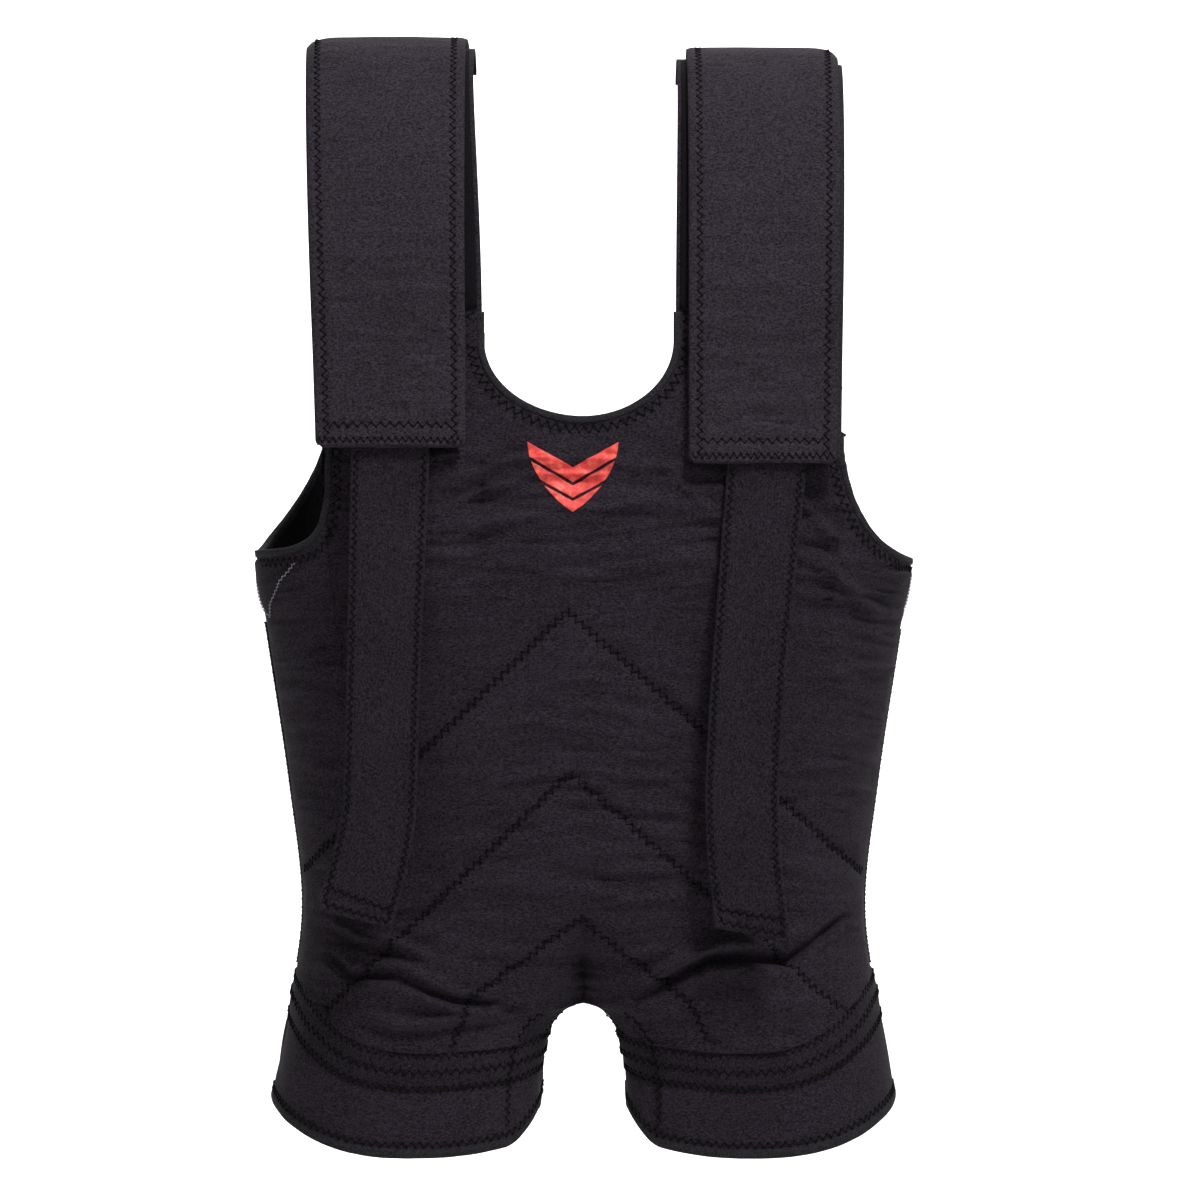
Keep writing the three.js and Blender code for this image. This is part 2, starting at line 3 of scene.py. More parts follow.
import bmesh
import bpy
import numpy as np
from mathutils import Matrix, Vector


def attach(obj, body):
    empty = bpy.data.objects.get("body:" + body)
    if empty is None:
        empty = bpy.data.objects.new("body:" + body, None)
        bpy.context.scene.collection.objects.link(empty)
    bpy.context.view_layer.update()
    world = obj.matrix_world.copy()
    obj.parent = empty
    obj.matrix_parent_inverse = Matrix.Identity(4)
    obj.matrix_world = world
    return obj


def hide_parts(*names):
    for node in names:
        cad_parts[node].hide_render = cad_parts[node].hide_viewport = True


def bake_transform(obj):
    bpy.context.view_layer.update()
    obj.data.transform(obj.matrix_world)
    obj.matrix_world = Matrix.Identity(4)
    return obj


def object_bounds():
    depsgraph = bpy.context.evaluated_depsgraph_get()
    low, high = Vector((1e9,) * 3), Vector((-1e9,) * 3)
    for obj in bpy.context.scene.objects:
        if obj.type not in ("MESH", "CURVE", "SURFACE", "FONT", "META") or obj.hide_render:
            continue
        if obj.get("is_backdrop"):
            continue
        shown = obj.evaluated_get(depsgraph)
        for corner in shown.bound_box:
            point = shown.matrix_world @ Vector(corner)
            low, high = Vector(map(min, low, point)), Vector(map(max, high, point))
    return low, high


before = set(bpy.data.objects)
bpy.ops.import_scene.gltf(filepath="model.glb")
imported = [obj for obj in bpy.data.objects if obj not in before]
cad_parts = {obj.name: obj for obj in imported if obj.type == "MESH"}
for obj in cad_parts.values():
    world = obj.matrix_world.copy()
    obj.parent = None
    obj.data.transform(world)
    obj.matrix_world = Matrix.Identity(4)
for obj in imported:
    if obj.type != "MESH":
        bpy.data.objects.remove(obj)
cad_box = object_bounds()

# ---- The suit's sizes, in metres. Heights are above the lowest point of the leg hems. ----

ORIGIN_HEIGHT = 0.320
PANEL_CLOTH = 0.0045
LEG_CLOTH = 0.0036
STRAP_CLOTH = 0.004
FLAP_CLOTH = 0.0045
TAIL_CLOTH = 0.0032

CHEST_HALF_WIDTH = 0.217
STRAP_SEAM_HEIGHT = 0.526
GIRTH_HEIGHTS = np.array([0.0, 0.080, 0.1546, 0.235, 0.3347, 0.386, STRAP_SEAM_HEIGHT])
GIRTHS = {
    "half_width": np.array([0.212, 0.197, 0.186, 0.194, 0.209, CHEST_HALF_WIDTH, CHEST_HALF_WIDTH]),
    "front": np.array([0.094, 0.098, 0.106, 0.112, 0.120, 0.124, 0.112]),
    "back": np.array([0.098, 0.110, 0.124, 0.112, 0.109, 0.111, 0.116]),
    "squareness": np.array([2.2, 2.3, 2.4, 2.4, 2.6, 2.9, 3.6]),
}

NECK_DROP = {-1: 0.050, 1: 0.092}
ARMPIT_HEIGHT = {"left": 0.386, "right": 0.391}
ARMHOLE_OVERSHOOT = 0.005
ARMHOLE_TOP_HEIGHT = 0.466

# As worn, the front hangs a little to the right, and the right armhole stands open. By side of
# the body (-1 front, 1 back) and hand: half the neck, the armhole's reach inward from the
# side, and the power of its curve, 2 for an ellipse.
NECK_HALF_WIDTH = {(-1, "left"): 0.0594, (-1, "right"): 0.0646, (1, "left"): 0.069, (1, "right"): 0.070}
ARMHOLE_REACH = {(-1, "left"): 0.056, (-1, "right"): 0.0575, (1, "left"): 0.050, (1, "right"): 0.044}
ARMHOLE_POWER = {(-1, "left"): 2.0, (-1, "right"): 4.6, (1, "left"): 2.0, (1, "right"): 1.3}

# Edge tape round the neck and armholes: how far it reaches in from the edge and how deep it is,
# how far it is shifted past the edge and the outer face, and what it is larger by on each side.
# Its stitches run EDGE_ROW from the edge, and the neck's tape runs a little up the straps.
EDGE_TAPE = 0.0042
EDGE_TAPE_DEPTH = PANEL_CLOTH + 0.0006
EDGE_TAPE_SHIFT = (0.0012, 0.0008)
EDGE_TAPE_SPARE = (0.0003, 0.0004)
EDGE_ROW = 0.0072
NECK_TAPE_RISE = 0.018

CROTCH_HEIGHT = 0.096
CROTCH_HALF_DEPTH = 0.040
LEGS_JOIN_HEIGHT = 0.160
LEG_HALF_GAP = 0.029
THIGH_SEAM_X = 0.046
# Each leg seam: its height at the front, its rise at the side and at the inside of the leg,
# and the power of the inner rise.
BAND_TOP = (0.068, 0.047, 0.010, 1.3)
BAND_BOTTOM = (0.043, 0.043, 0.010, 1.3)
HEM = (0.0, 0.030, 0.026, 2.1)
# Their outer rise starts at this share of the way from the thigh seam to the side.
SEAM_LEVEL_SHARE = 0.35
BAND_TUCK = 0.0035
HEM_HEIGHT = 0.007

STRAP_RISE = {"left": 0.192, "right": 0.199}
FLAP_LIFT = 0.0084
# Middle and width of each flap at its lower edge, at the top of the shoulder and at the back seam.
FLAP_MIDDLE = {"left": (0.1146, 0.1180, 0.1205), "right": (0.1223, 0.1304, 0.1240)}
FLAP_WIDTH = {"left": (0.0946, 0.100, 0.103), "right": (0.0955, 0.106, 0.108)}
FRONT_STRAP_INNER = {"left": (0.0594, 0.0615), "right": (0.0646, 0.0720)}
FRONT_STRAP_OUTER = 0.164
FLAP_KICK = 0.010
FLAP_END_HEIGHT = {"left": 0.446, "right": 0.456}
HINGE_ANGLE = 84.0
TAIL_WIDTH = 0.050
TAIL_LENGTH = 0.300
TAIL_LEAN = 0.014
TAIL_ANCHOR = 0.028
# The flap's stitched rows: how far across, as a share of the half width, and the height of the
# upper one at its lower edge.
FLAP_ROW = 0.85
FLAP_LOW_ROW = 0.014
SIDE_TAPE_HALF_WIDTH = 0.009

# Rows of stitches: the width of the zigzag, its pitch and, where it isn't THREAD_RADIUS, the
# radius of the thread.
THREAD_RADIUS = 0.0005
STITCH_LIFT = 0.0003
EDGE_STITCH = (0.0046, 0.0030)
QUILT_STITCH = (0.0042, 0.0030, 0.00055)
SEAM_STITCH = (0.0030, 0.0028)
LEG_STITCH_WIDTH = 0.0034
FLAP_STITCH = (0.0034, 0.0029)
FLAP_END_STITCH = (0.0032, 0.0022)
BACK_SEAM_STITCH = (0.0032, 0.0028)
TAIL_STITCH = (0.0026, 0.0026)
PATCH_STITCH = (0.0010, 0.0020, 0.0004)

SIDES = {"left": 1, "right": -1}
ARMHOLE_MIDDLE = CHEST_HALF_WIDTH + ARMHOLE_OVERSHOOT

# Quilting lines as (x, height), from the tip of each chevron down to one side.
CHEVRONS = [
    [(-0.010, 0.3526), (-0.215, 0.1527)],
    [(-0.010, 0.3526), (0.215, 0.1535)],
    [(-0.008, 0.2496), (-0.215, 0.0478)],
    [(-0.008, 0.2496), (0.215, 0.0522)],
    [(-0.002, 0.1536), (-0.0723, 0.1037), (-0.085, 0.0704)],
    [(-0.002, 0.1536), (0.0685, 0.1010), (0.0794, 0.0774)],
]


# ---- Small mathematical helpers ----

def smooth(value, start, end):
    t = np.clip((np.asarray(value, float) - start) / (end - start), 0, 1)
    return t * t * (3 - 2 * t)


def mix(a, b, t):
    return a + (b - a) * t


def bulge(across, squareness):
    return np.maximum(0, 1 - np.abs(across) ** squareness) ** (1 / squareness)


def unit(vectors):
    return vectors / np.maximum(np.linalg.norm(vectors, axis=-1, keepdims=True), 1e-12)


def stack(*parts):
    return np.stack(np.broadcast_arrays(*parts), axis=-1)


def square_to(vectors, axis):
    """Unit vectors at a right angle to axis, as near as they can be to vectors."""
    return unit(vectors - axis * np.sum(vectors * axis, axis=-1, keepdims=True))


def lengths_along(line):
    """The distance along a line of points, from its first point to each of them."""
    return np.concatenate([[0], np.cumsum(np.linalg.norm(np.diff(line, axis=0), axis=1))])


def resample(line, count, carried=None):
    """count points at even steps along a line, or what is carried by the line at those points."""
    length = lengths_along(line)
    at = np.linspace(0, length[-1], count)
    values = line if carried is None else carried
    return np.stack([np.interp(at, length, column) for column in values.T], axis=1)


def ordered(points, sign):
    """A grid's columns in the order that turns its outer face outward, on either side."""
    return points[::-1] if sign < 0 else points


class Noise:
    """Smooth seeded noise over the plane, about -1 to 1, with no table read from outside."""

    def __init__(self, seed, size=64):
        self.size = size
        self.grid = np.random.default_rng(seed).uniform(-1, 1, (size, size))

    def __call__(self, u, v):
        u, v = np.broadcast_arrays(np.asarray(u, float), np.asarray(v, float))
        i, j = np.floor(u).astype(int), np.floor(v).astype(int)
        a, b = u - i, v - j
        a, b = a * a * (3 - 2 * a), b * b * (3 - 2 * b)
        n = self.size
        low = mix(self.grid[i % n, j % n], self.grid[(i + 1) % n, j % n], a)
        high = mix(self.grid[i % n, (j + 1) % n], self.grid[(i + 1) % n, (j + 1) % n], a)
        return mix(low, high, b)


# ---- The trunk and legs as one surface, as the CAD model has it ----

def girth(height, size):
    values, last = GIRTHS[size], len(GIRTH_HEIGHTS) - 1
    below = np.maximum(np.arange(last + 1) - 1, 0)
    above = np.minimum(np.arange(last + 1) + 1, last)
    slopes = (values[above] - values[below]) / (GIRTH_HEIGHTS[above] - GIRTH_HEIGHTS[below])
    row = np.clip(np.searchsorted(GIRTH_HEIGHTS, height, side="left"), 1, last)
    span = GIRTH_HEIGHTS[row] - GIRTH_HEIGHTS[row - 1]
    t = np.clip((height - GIRTH_HEIGHTS[row - 1]) / span, 0, 1)
    leave = t * (1 - t) ** 2 * span * slopes[row - 1]
    reach = t * t * (t - 1) * span * slopes[row]
    return mix(values[row - 1], values[row], t * t * (3 - 2 * t)) + leave + reach


def leg_gap(height):
    down = np.clip(np.asarray(height, float) / CROTCH_HEIGHT, 0, 1)
    return LEG_HALF_GAP * np.sqrt(1 - down ** 4)


def thigh_seam(height):
    fall = np.clip((height - BAND_TOP[0]) / (CROTCH_HEIGHT - BAND_TOP[0]), 0, 1)
    return leg_gap(height) + (THIGH_SEAM_X - LEG_HALF_GAP) * (1 - 0.2 * fall ** 3)


def cloth_depth(side, x, height):
    half_width, squareness = girth(height, "half_width"), girth(height, "squareness")
    reach = girth(height, "front" if side < 0 else "back")
    gap = leg_gap(height)
    across_leg = (2 * np.abs(x) - half_width - gap) / (half_width - gap)
    round_leg = bulge(across_leg, squareness)
    inner = mix(CROTCH_HALF_DEPTH / reach, 1, round_leg)
    leg = np.where(across_leg > 0, round_leg, inner)
    trunk = bulge(x / half_width, squareness)
    return reach * mix(leg, trunk, smooth(height, CROTCH_HEIGHT, LEGS_JOIN_HEIGHT))


def smooth_point(side, x, height):
    """The surface's point and its outward direction, before any folds."""
    step = 2e-5
    near = np.clip(np.abs(x), leg_gap(height) + 2 * step, girth(height, "half_width") - 2 * step)
    slope_x = (cloth_depth(side, near + step, height) - cloth_depth(side, near - step, height))
    slope_z = (cloth_depth(side, near, height + step) - cloth_depth(side, near, height - step))
    normal = stack(-np.sign(x) * slope_x, side * 2 * step, -slope_z)
    return stack(x, side * cloth_depth(side, x, height), height - ORIGIN_HEIGHT), unit(normal)


# ---- Distance round the body, so that grids and weave keep an even size ----

class RoundBody:
    """Turns way, 0 at the middle and 1 at the side seam along the cloth, into x and back."""

    LOWEST, HIGHEST, LEVELS = -0.002, 0.56, 282
    WAYS = 241
    # Samples across a half, crowded towards the side seam, where the cloth turns away fastest.
    SAMPLES, CROWDING = 700, 2.4

    def __init__(self, side):
        self.heights = np.linspace(self.LOWEST, self.HIGHEST, self.LEVELS)
        self.ways = np.linspace(0, 1, self.WAYS)
        spread = 1 - (1 - np.linspace(0, 1, self.SAMPLES)) ** self.CROWDING
        self.rows = []
        for height in self.heights:
            gap, half_width = leg_gap(height), girth(height, "half_width")
            x = gap + (half_width - gap) * spread
            y = cloth_depth(side, x, height)
            length = np.concatenate([[0], np.cumsum(np.hypot(np.diff(x), np.diff(y)))])
            self.rows.append(np.interp(self.ways, length / length[-1], x))
        self.rows = np.array(self.rows)

    def x(self, way, height):
        way, height = np.broadcast_arrays(np.asarray(way, float), np.asarray(height, float))
        row = (height - self.heights[0]) / (self.heights[1] - self.heights[0])
        row = np.clip(row, 0, len(self.heights) - 1.001)
        col = np.clip(np.abs(way), 0, 1) * (len(self.ways) - 1.001)
        i, j = row.astype(int), col.astype(int)
        a, b = row - i, col - j
        low = mix(self.rows[i, j], self.rows[i, j + 1], b)
        high = mix(self.rows[i + 1, j], self.rows[i + 1, j + 1], b)
        x = np.where(np.abs(way) >= 1, girth(height, "half_width"), mix(low, high, a))
        return np.sign(way) * np.minimum(x, girth(height, "half_width"))

    def way(self, x, height):
        found = []
        for one, h in zip(np.ravel(x), np.ravel(np.broadcast_to(height, np.shape(x)))):
            row = np.searchsorted(self.heights, h).clip(1, len(self.heights) - 1)
            found.append(np.interp(abs(one), self.rows[row], self.ways))
        return np.sign(x) * np.array(found).reshape(np.shape(x))


round_body = {-1: RoundBody(-1), 1: RoundBody(1)}


# ---- Folds, wrinkles and quilting of the trunk cloth ----

fine_noise = Noise(3)
broad_noise = Noise(11)
leg_noise = Noise(23)


def groove(distance, width):
    return np.exp(-(distance / width) ** 2)


def from_line(x, height, points):
    """Distance from a broken line, and the share of it at which the nearest point lies."""
    points = np.array(points)
    best, at = np.full(np.shape(x), 1e9), np.zeros(np.shape(x))
    for k, (start, end) in enumerate(zip(points[:-1], points[1:])):
        run = end - start
        t = np.clip(((x - start[0]) * run[0] + (height - start[1]) * run[1]) / (run @ run), 0, 1)
        distance = np.hypot(x - start[0] - t * run[0], height - start[1] - t * run[1])
        at = np.where(distance < best, (k + t) / (len(points) - 1), at)
        best = np.minimum(best, distance)
    return best, at


def chevron_distance(x, height):
    """Distance from the nearest quilting line."""
    return np.min([from_line(x, height, line)[0] for line in CHEVRONS], axis=0)


FOLD_STRENGTH = 3.0
CHEST_RIPPLE = 0.0038
# The puff of the quilted cloth between its seams, and the valley at each seam: rise and width.
PUFF, PUFF_WIDTH = 0.0016, 0.013
VALLEY, VALLEY_WIDTH = 0.0016, 0.0030

# Soft folds on the front: points along each as (x, height), then its half width and its rise.
FRONT_FOLDS = [
    ([(-0.162, 0.150), (-0.143, 0.142), (-0.118, 0.138), (-0.095, 0.128)], 0.0050, 0.0035),
    ([(-0.166, 0.131), (-0.150, 0.117), (-0.120, 0.119), (-0.098, 0.112)], 0.0045, -0.0030),
    ([(-0.140, 0.118), (-0.117, 0.114), (-0.080, 0.101), (-0.036, 0.096)], 0.0044, -0.0036),
    ([(-0.148, 0.094), (-0.118, 0.087), (-0.080, 0.090), (-0.052, 0.093)], 0.0050, 0.0030),
    ([(-0.108, 0.106), (-0.085, 0.098), (-0.060, 0.096), (-0.040, 0.101)], 0.0040, 0.0022),
    ([(0.030, 0.100), (0.056, 0.116), (0.080, 0.129), (0.101, 0.130), (0.132, 0.127),
      (0.151, 0.138), (0.172, 0.155)], 0.0052, -0.0048),
    ([(0.036, 0.112), (0.062, 0.128), (0.088, 0.140), (0.120, 0.137), (0.146, 0.148)], 0.006, 0.0030),
    ([(0.138, 0.128), (0.156, 0.139), (0.175, 0.150)], 0.0040, 0.0024),
    ([(-0.070, 0.441), (-0.045, 0.449), (-0.020, 0.452)], 0.0040, 0.0022),
    ([(-0.090, 0.418), (-0.060, 0.430), (-0.034, 0.436)], 0.0042, 0.0024),
    ([(-0.084, 0.398), (-0.055, 0.409), (-0.025, 0.412)], 0.0042, 0.0018),
    ([(0.052, 0.440), (0.070, 0.428), (0.085, 0.410)], 0.0050, 0.0014),
    ([(-0.182, 0.330), (-0.160, 0.345), (-0.150, 0.365)], 0.0060, 0.0016),
    ([(0.130, 0.430), (0.150, 0.412), (0.170, 0.385)], 0.0060, 0.0018),
    ([(0.145, 0.385), (0.170, 0.370), (0.195, 0.345)], 0.0070, 0.0016),
]
BACK_FOLDS = [
    ([(-0.150, 0.118), (-0.100, 0.106), (-0.050, 0.104)], 0.0070, -0.0034),
    ([(0.150, 0.118), (0.100, 0.106), (0.050, 0.104)], 0.0070, -0.0034),
    ([(-0.120, 0.262), (-0.040, 0.252), (0.050, 0.254), (0.130, 0.268)], 0.0090, -0.0022),
    ([(-0.140, 0.228), (-0.050, 0.222), (0.030, 0.224), (0.140, 0.236)], 0.0080, -0.0016),
]


def fold(x, height, points, width, rise):
    distance, at = from_line(x, height, points)
    crease = groove(distance, 0.75 * width) - 0.45 * groove(distance, 2.0 * width)
    return FOLD_STRENGTH * rise * crease * np.clip(4 * at * (1 - at), 0, 1) ** 0.6


def quilt_rise(side, x, height):
    """How far the quilted cloth stands out from the smooth surface."""
    half_width = girth(height, "half_width")
    edge = 1 - smooth(np.abs(x) / half_width, 0.965, 1.0)
    seam = chevron_distance(x, height)
    puff = smooth(0.37 - 0.9 * np.abs(x) - height, -0.01, 0.03)
    rise = PUFF * (1 - groove(seam, PUFF_WIDTH)) * puff - VALLEY * groove(seam, VALLEY_WIDTH)
    warp = 0.005 * broad_noise(x * 13, height * 13)
    level = height + warp + 0.05 * np.abs(x + 0.01) ** 1.2
    chest = 0.68 + 0.32 * smooth(height, 0.27, 0.36)
    strong = 0.55 + 0.45 * broad_noise(x * 9 + 2, height * 15 + 4)
    # Two sizes of crepe ripple, about 7 and 3 mm high, calmer near the armhole and the straps.
    ripple = fine_noise(x * 26 + 7, level * 150)
    ripple = ripple + 0.55 * fine_noise(x * 60, level * 320 + 9)
    calm = 1 - 0.85 * smooth(height, 0.445, 0.475)
    calm = calm * (1 - 0.8 * smooth(np.abs(x), 0.150, 0.178) * smooth(height, 0.365, 0.395))
    rise = rise + CHEST_RIPPLE * chest * strong * ripple * calm
    rise = rise + 0.0011 * broad_noise(x * 24 + 5, height * 20)
    for points, width, amount in FRONT_FOLDS if side < 0 else BACK_FOLDS:
        rise = rise + fold(x, height, points, width, amount)
    return rise * edge


def trunk_point(side, x, height, lift=0.0):
    point, normal = smooth_point(side, x, height)
    return point + normal * (quilt_rise(side, x, height) + lift)[..., None]


def trunk_row(rows, side, x, height, lift, stitch):
    """A row of stitches on the trunk cloth."""
    rows.zigzag(trunk_point(side, x, height, lift), smooth_point(side, x, height)[1], *stitch)


# ---- Meshes from grids ----

def mesh_object(name, vertices, faces, uv=None):
    mesh = bpy.data.meshes.new(name)
    mesh.from_pydata([tuple(v) for v in vertices.reshape(-1, 3).tolist()], [], faces)
    mesh.validate()
    if uv is not None:
        layer = mesh.uv_layers.new(name="cloth")
        corner = np.empty(len(mesh.loops), int)
        mesh.loops.foreach_get("vertex_index", corner)
        layer.data.foreach_set("uv", uv.reshape(-1, 2)[corner].astype(np.float32).ravel())
    mesh.polygons.foreach_set("use_smooth", [True] * len(mesh.polygons))
    piece = bpy.data.objects.new(name, mesh)
    bpy.context.collection.objects.link(piece)
    return piece


def grid_faces(columns, rows, closed=False, first=0):
    spans = columns if closed else columns - 1
    i, j = np.meshgrid(np.arange(spans), np.arange(rows - 1), indexing="ij")
    a = first + i * rows + j
    b = first + ((i + 1) % columns) * rows + j
    return np.stack([a, b, b + 1, a + 1], axis=-1).reshape(-1, 4).tolist()


def cloth_lengths(points):
    """A texture place for every grid point, in metres along the cloth."""
    steps = np.linalg.norm(np.diff(points, axis=0), axis=-1)
    u = np.concatenate([np.zeros((1, points.shape[1])), np.cumsum(steps, axis=0)])
    steps = np.linalg.norm(np.diff(points, axis=1), axis=-1)
    v = np.concatenate([np.zeros((points.shape[0], 1)), np.cumsum(steps, axis=1)], axis=1)
    middle = points.shape[0] // 2
    return np.stack([u - u[middle:middle + 1], v], axis=-1)


def apply_modifiers(piece):
    depsgraph = bpy.context.evaluated_depsgraph_get()
    mesh = bpy.data.meshes.new_from_object(piece.evaluated_get(depsgraph))
    piece.modifiers.clear()
    old, piece.data = piece.data, mesh
    bpy.data.meshes.remove(old)


def join_doubles(piece, close_ends=False):
    """Joins the points of a mesh that coincide and, if asked, closes its open ends."""
    work = bmesh.new()
    work.from_mesh(piece.data)
    bmesh.ops.remove_doubles(work, verts=work.verts, dist=1e-6)
    if close_ends:
        bmesh.ops.holes_fill(work, edges=[edge for edge in work.edges if edge.is_boundary])
        bmesh.ops.recalc_face_normals(work, faces=work.faces)
        for face in work.faces:
            face.smooth = True
    work.to_mesh(piece.data)
    work.free()


def cloth_piece(name, points, thickness, material, closed=False, inside=None):
    """A sheet through a grid of points on its outer face, with its thickness inward."""
    piece = mesh_object(name, points, grid_faces(*points.shape[:2], closed), cloth_lengths(points))
    piece.data.materials.append(material)
    solid = piece.modifiers.new("thickness", "SOLIDIFY")
    solid.thickness = thickness
    solid.offset = -1
    solid.use_even_offset = False
    solid.use_rim = True
    if inside is not None:
        piece.data.materials.append(inside)
        solid.material_offset = 1
        solid.material_offset_rim = 1
    apply_modifiers(piece)
    return piece


# ---- Stitching: every stitch is a short piece of thread ----

class Stitches:
    """Rows of stitches that become one piece. Each thread is thick and low at its two ends,
    where the needle holes are, and thin between them. With the near-black thread material,
    these thick ends are painted shade for the needle holes."""

    SHARES = np.array([0.0, 0.16, 0.5, 0.84, 1.0])
    SIZES = np.array([1.7, 0.8, 0.45, 0.8, 1.7])
    RISES = np.array([0.1, 0.4, 0.6, 0.4, 0.1]) * 0.00030
    CORNERS = 6

    def __init__(self, name):
        self.name, self.vertices, self.faces = name, [], []

    def thread(self, starts, ends, outward, radius):
        """One short thread from each start to each end."""
        ahead = unit(ends - starts)
        across = unit(np.cross(outward, ahead))
        up = np.cross(ahead, across)
        turn = np.arange(self.CORNERS) / self.CORNERS * 2 * math.pi
        centre = starts[:, None] + (ends - starts)[:, None] * self.SHARES[None, :, None]
        centre = centre + up[:, None] * self.RISES[None, :, None]
        ring = np.cos(turn)[None, None, :, None] * across[:, None, None]
        ring = ring + np.sin(turn)[None, None, :, None] * up[:, None, None]
        points = centre[:, :, None] + ring * (self.SIZES * radius)[None, :, None, None]
        first = sum(len(v) for v in self.vertices)
        self.vertices.append(points.reshape(-1, 3))
        rings = np.arange(len(starts) * len(self.SHARES)).reshape(len(starts), -1) * self.CORNERS + first
        corner = np.arange(self.CORNERS)
        a = rings[:, :-1, None] + corner
        b = rings[:, :-1, None] + (corner + 1) % self.CORNERS
        quads = np.stack([a, b, b + self.CORNERS, a + self.CORNERS], axis=-1)
        self.faces += quads.reshape(-1, 4).tolist()
        for start, *_, end in rings:
            self.faces.append((start + corner[::-1]).tolist())
            self.faces.append((end + corner).tolist())

    def zigzag(self, line, outward, width, pitch, radius=THREAD_RADIUS):
        """A zigzag of threads along a line on the cloth."""
        count = max(3, int(lengths_along(line)[-1] / pitch) + 1)
        at, up = resample(line, count), unit(resample(line, count, outward))
        ahead = unit(np.gradient(at, axis=0))
        across = np.cross(up, ahead) * (width / 2)
        at = at + across * np.where(np.arange(count) % 2 == 0, 1, -1)[:, None]
        self.thread(at[:-1], at[1:], unit(up[:-1] + up[1:]), radius)

    def make(self, material):
        piece = mesh_object(self.name, np.concatenate(self.vertices), self.faces)
        piece.data.materials.append(material)
        return piece


# ---- Materials ----

def srgb(red, green, blue):
    def linear(c):
        c = c / 255
        return c / 12.92 if c <= 0.04045 else ((c + 0.055) / 1.055) ** 2.4
    return (linear(red), linear(green), linear(blue), 1)


class Nodes:
    """A short way to write a material's nodes."""

    def __init__(self, name):
        self.material = bpy.data.materials.new(name)
        self.material.use_nodes = True
        self.tree = self.material.node_tree
        self.shader = self.tree.nodes["Principled BSDF"]

    def new(self, kind, **inputs):
        node = self.tree.nodes.new(kind)
        for key, value in inputs.items():
            if key in node.inputs:
                node.inputs[key].default_value = value
            else:
                setattr(node, key, value)
        return node

    def link(self, source, target):
        self.tree.links.new(source, target)

    def surface(self, values):
        for key, value in values.items():
            self.shader.inputs[key].default_value = value

    def noise(self, scale, detail, rough, stretch=(1, 1, 1)):
        place = self.new("ShaderNodeTexCoord")
        mapping = self.new("ShaderNodeMapping", Scale=stretch)
        node = self.new("ShaderNodeTexNoise", Scale=scale, Detail=detail, Roughness=rough)
        self.link(place.outputs["Object"], mapping.inputs["Vector"])
        self.link(mapping.outputs["Vector"], node.inputs["Vector"])
        return node.outputs["Fac"]

    def colour(self, source, *stops):
        """The base colour, from a noise value and its stops of position and colour."""
        node = self.new("ShaderNodeValToRGB")
        elements = node.color_ramp.elements
        while len(elements) < len(stops):
            elements.new(0.5)
        for element, (position, colour) in zip(elements, stops):
            element.position, element.color = position, colour
        self.link(source, node.inputs["Fac"])
        self.link(node.outputs["Color"], self.shader.inputs["Base Color"])

    def total(self, *parts):
        """The sum of noise values, each by its weight."""
        total = None
        for source, weight in parts:
            node = self.new("ShaderNodeMath", operation="MULTIPLY_ADD")
            node.inputs[1].default_value = weight
            node.inputs[2].default_value = 0
            self.link(source, node.inputs[0])
            if total is not None:
                self.link(total, node.inputs[2])
            total = node.outputs[0]
        return total

    def relief(self, *layers):
        """Bumps laid over each other, from noise values and their depths."""
        before = None
        for height, depth in layers:
            node = self.new("ShaderNodeBump", Strength=1.0, Distance=depth)
            self.link(height, node.inputs["Height"])
            if before is not None:
                self.link(before, node.inputs["Normal"])
            before = node.outputs["Normal"]
        self.link(before, self.shader.inputs["Normal"])


def cloth_material(name, dark, light, grain, rib=(1, 1, 1), bump=0.0006, rough=0.92):
    """Matte knitted or woven cloth: a fine grain, short flecks of yarn and a ribbed relief."""
    n = Nodes(name)
    speck = n.noise(grain, 2, 0.7)
    fleck = n.noise(grain * 0.7, 2, 0.6, rib)
    mottle = n.noise(28, 4, 0.6)
    n.colour(n.total((fleck, 0.50), (speck, 0.42), (mottle, 0.08)), (0.38, dark), (0.62, light))
    n.relief((speck, bump * 0.5), (n.noise(grain * 0.8, 2, 0.6, rib), bump))
    n.surface({"Roughness": rough, "Specular IOR Level": 0.07})
    n.surface({"Sheen Weight": 0.01, "Sheen Roughness": 0.6})
    return n.material


def print_material():
    """The mottled red transfer print."""
    n = Nodes("red_print")
    stops = ((0.36, srgb(196, 44, 44)), (0.52, srgb(226, 66, 58)), (0.68, srgb(244, 120, 104)))
    n.colour(n.noise(160, 5, 0.65), *stops)
    n.relief((n.noise(1400, 2, 0.6), 0.0002))
    n.surface({"Roughness": 0.6})
    return n.material


quilt = cloth_material("quilt_cloth", srgb(13, 11, 14), srgb(53, 46, 55), 1000, (0.7, 0.7, 1.5))
lining = cloth_material("lining_cloth", srgb(10, 9, 11), srgb(30, 27, 32), 1100)
strap_cloth = cloth_material("strap_cloth", srgb(19, 16, 20), srgb(58, 52, 60), 1000, (0.8, 0.8, 1.3))
webbing = cloth_material("webbing", srgb(12, 10, 13), srgb(48, 42, 50), 1000, (1.2, 1, 0.9))
binding = cloth_material("binding_tape", srgb(20, 18, 21), srgb(52, 50, 54), 1300, bump=0.0003)
hook = cloth_material("hook_and_loop", srgb(8, 7, 9), srgb(26, 24, 28), 1600, bump=0.0012)
# The thread's near-black colour is painted shade for the needle holes and the groove along each row. The
# thread itself is about the colour of the cloth.
thread = cloth_material("thread", srgb(4, 4, 5), srgb(10, 9, 11), 2500, bump=0.0001, rough=0.8)
pale_thread = cloth_material("pale_thread", srgb(120, 116, 124), srgb(164, 160, 168), 2500, bump=0.0001)
red_print = print_material()


def add_piece(piece, body, slot, *nodes):
    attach(piece, body)
    if nodes:
        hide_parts(*nodes)
    return piece


# ---- Outlines ----

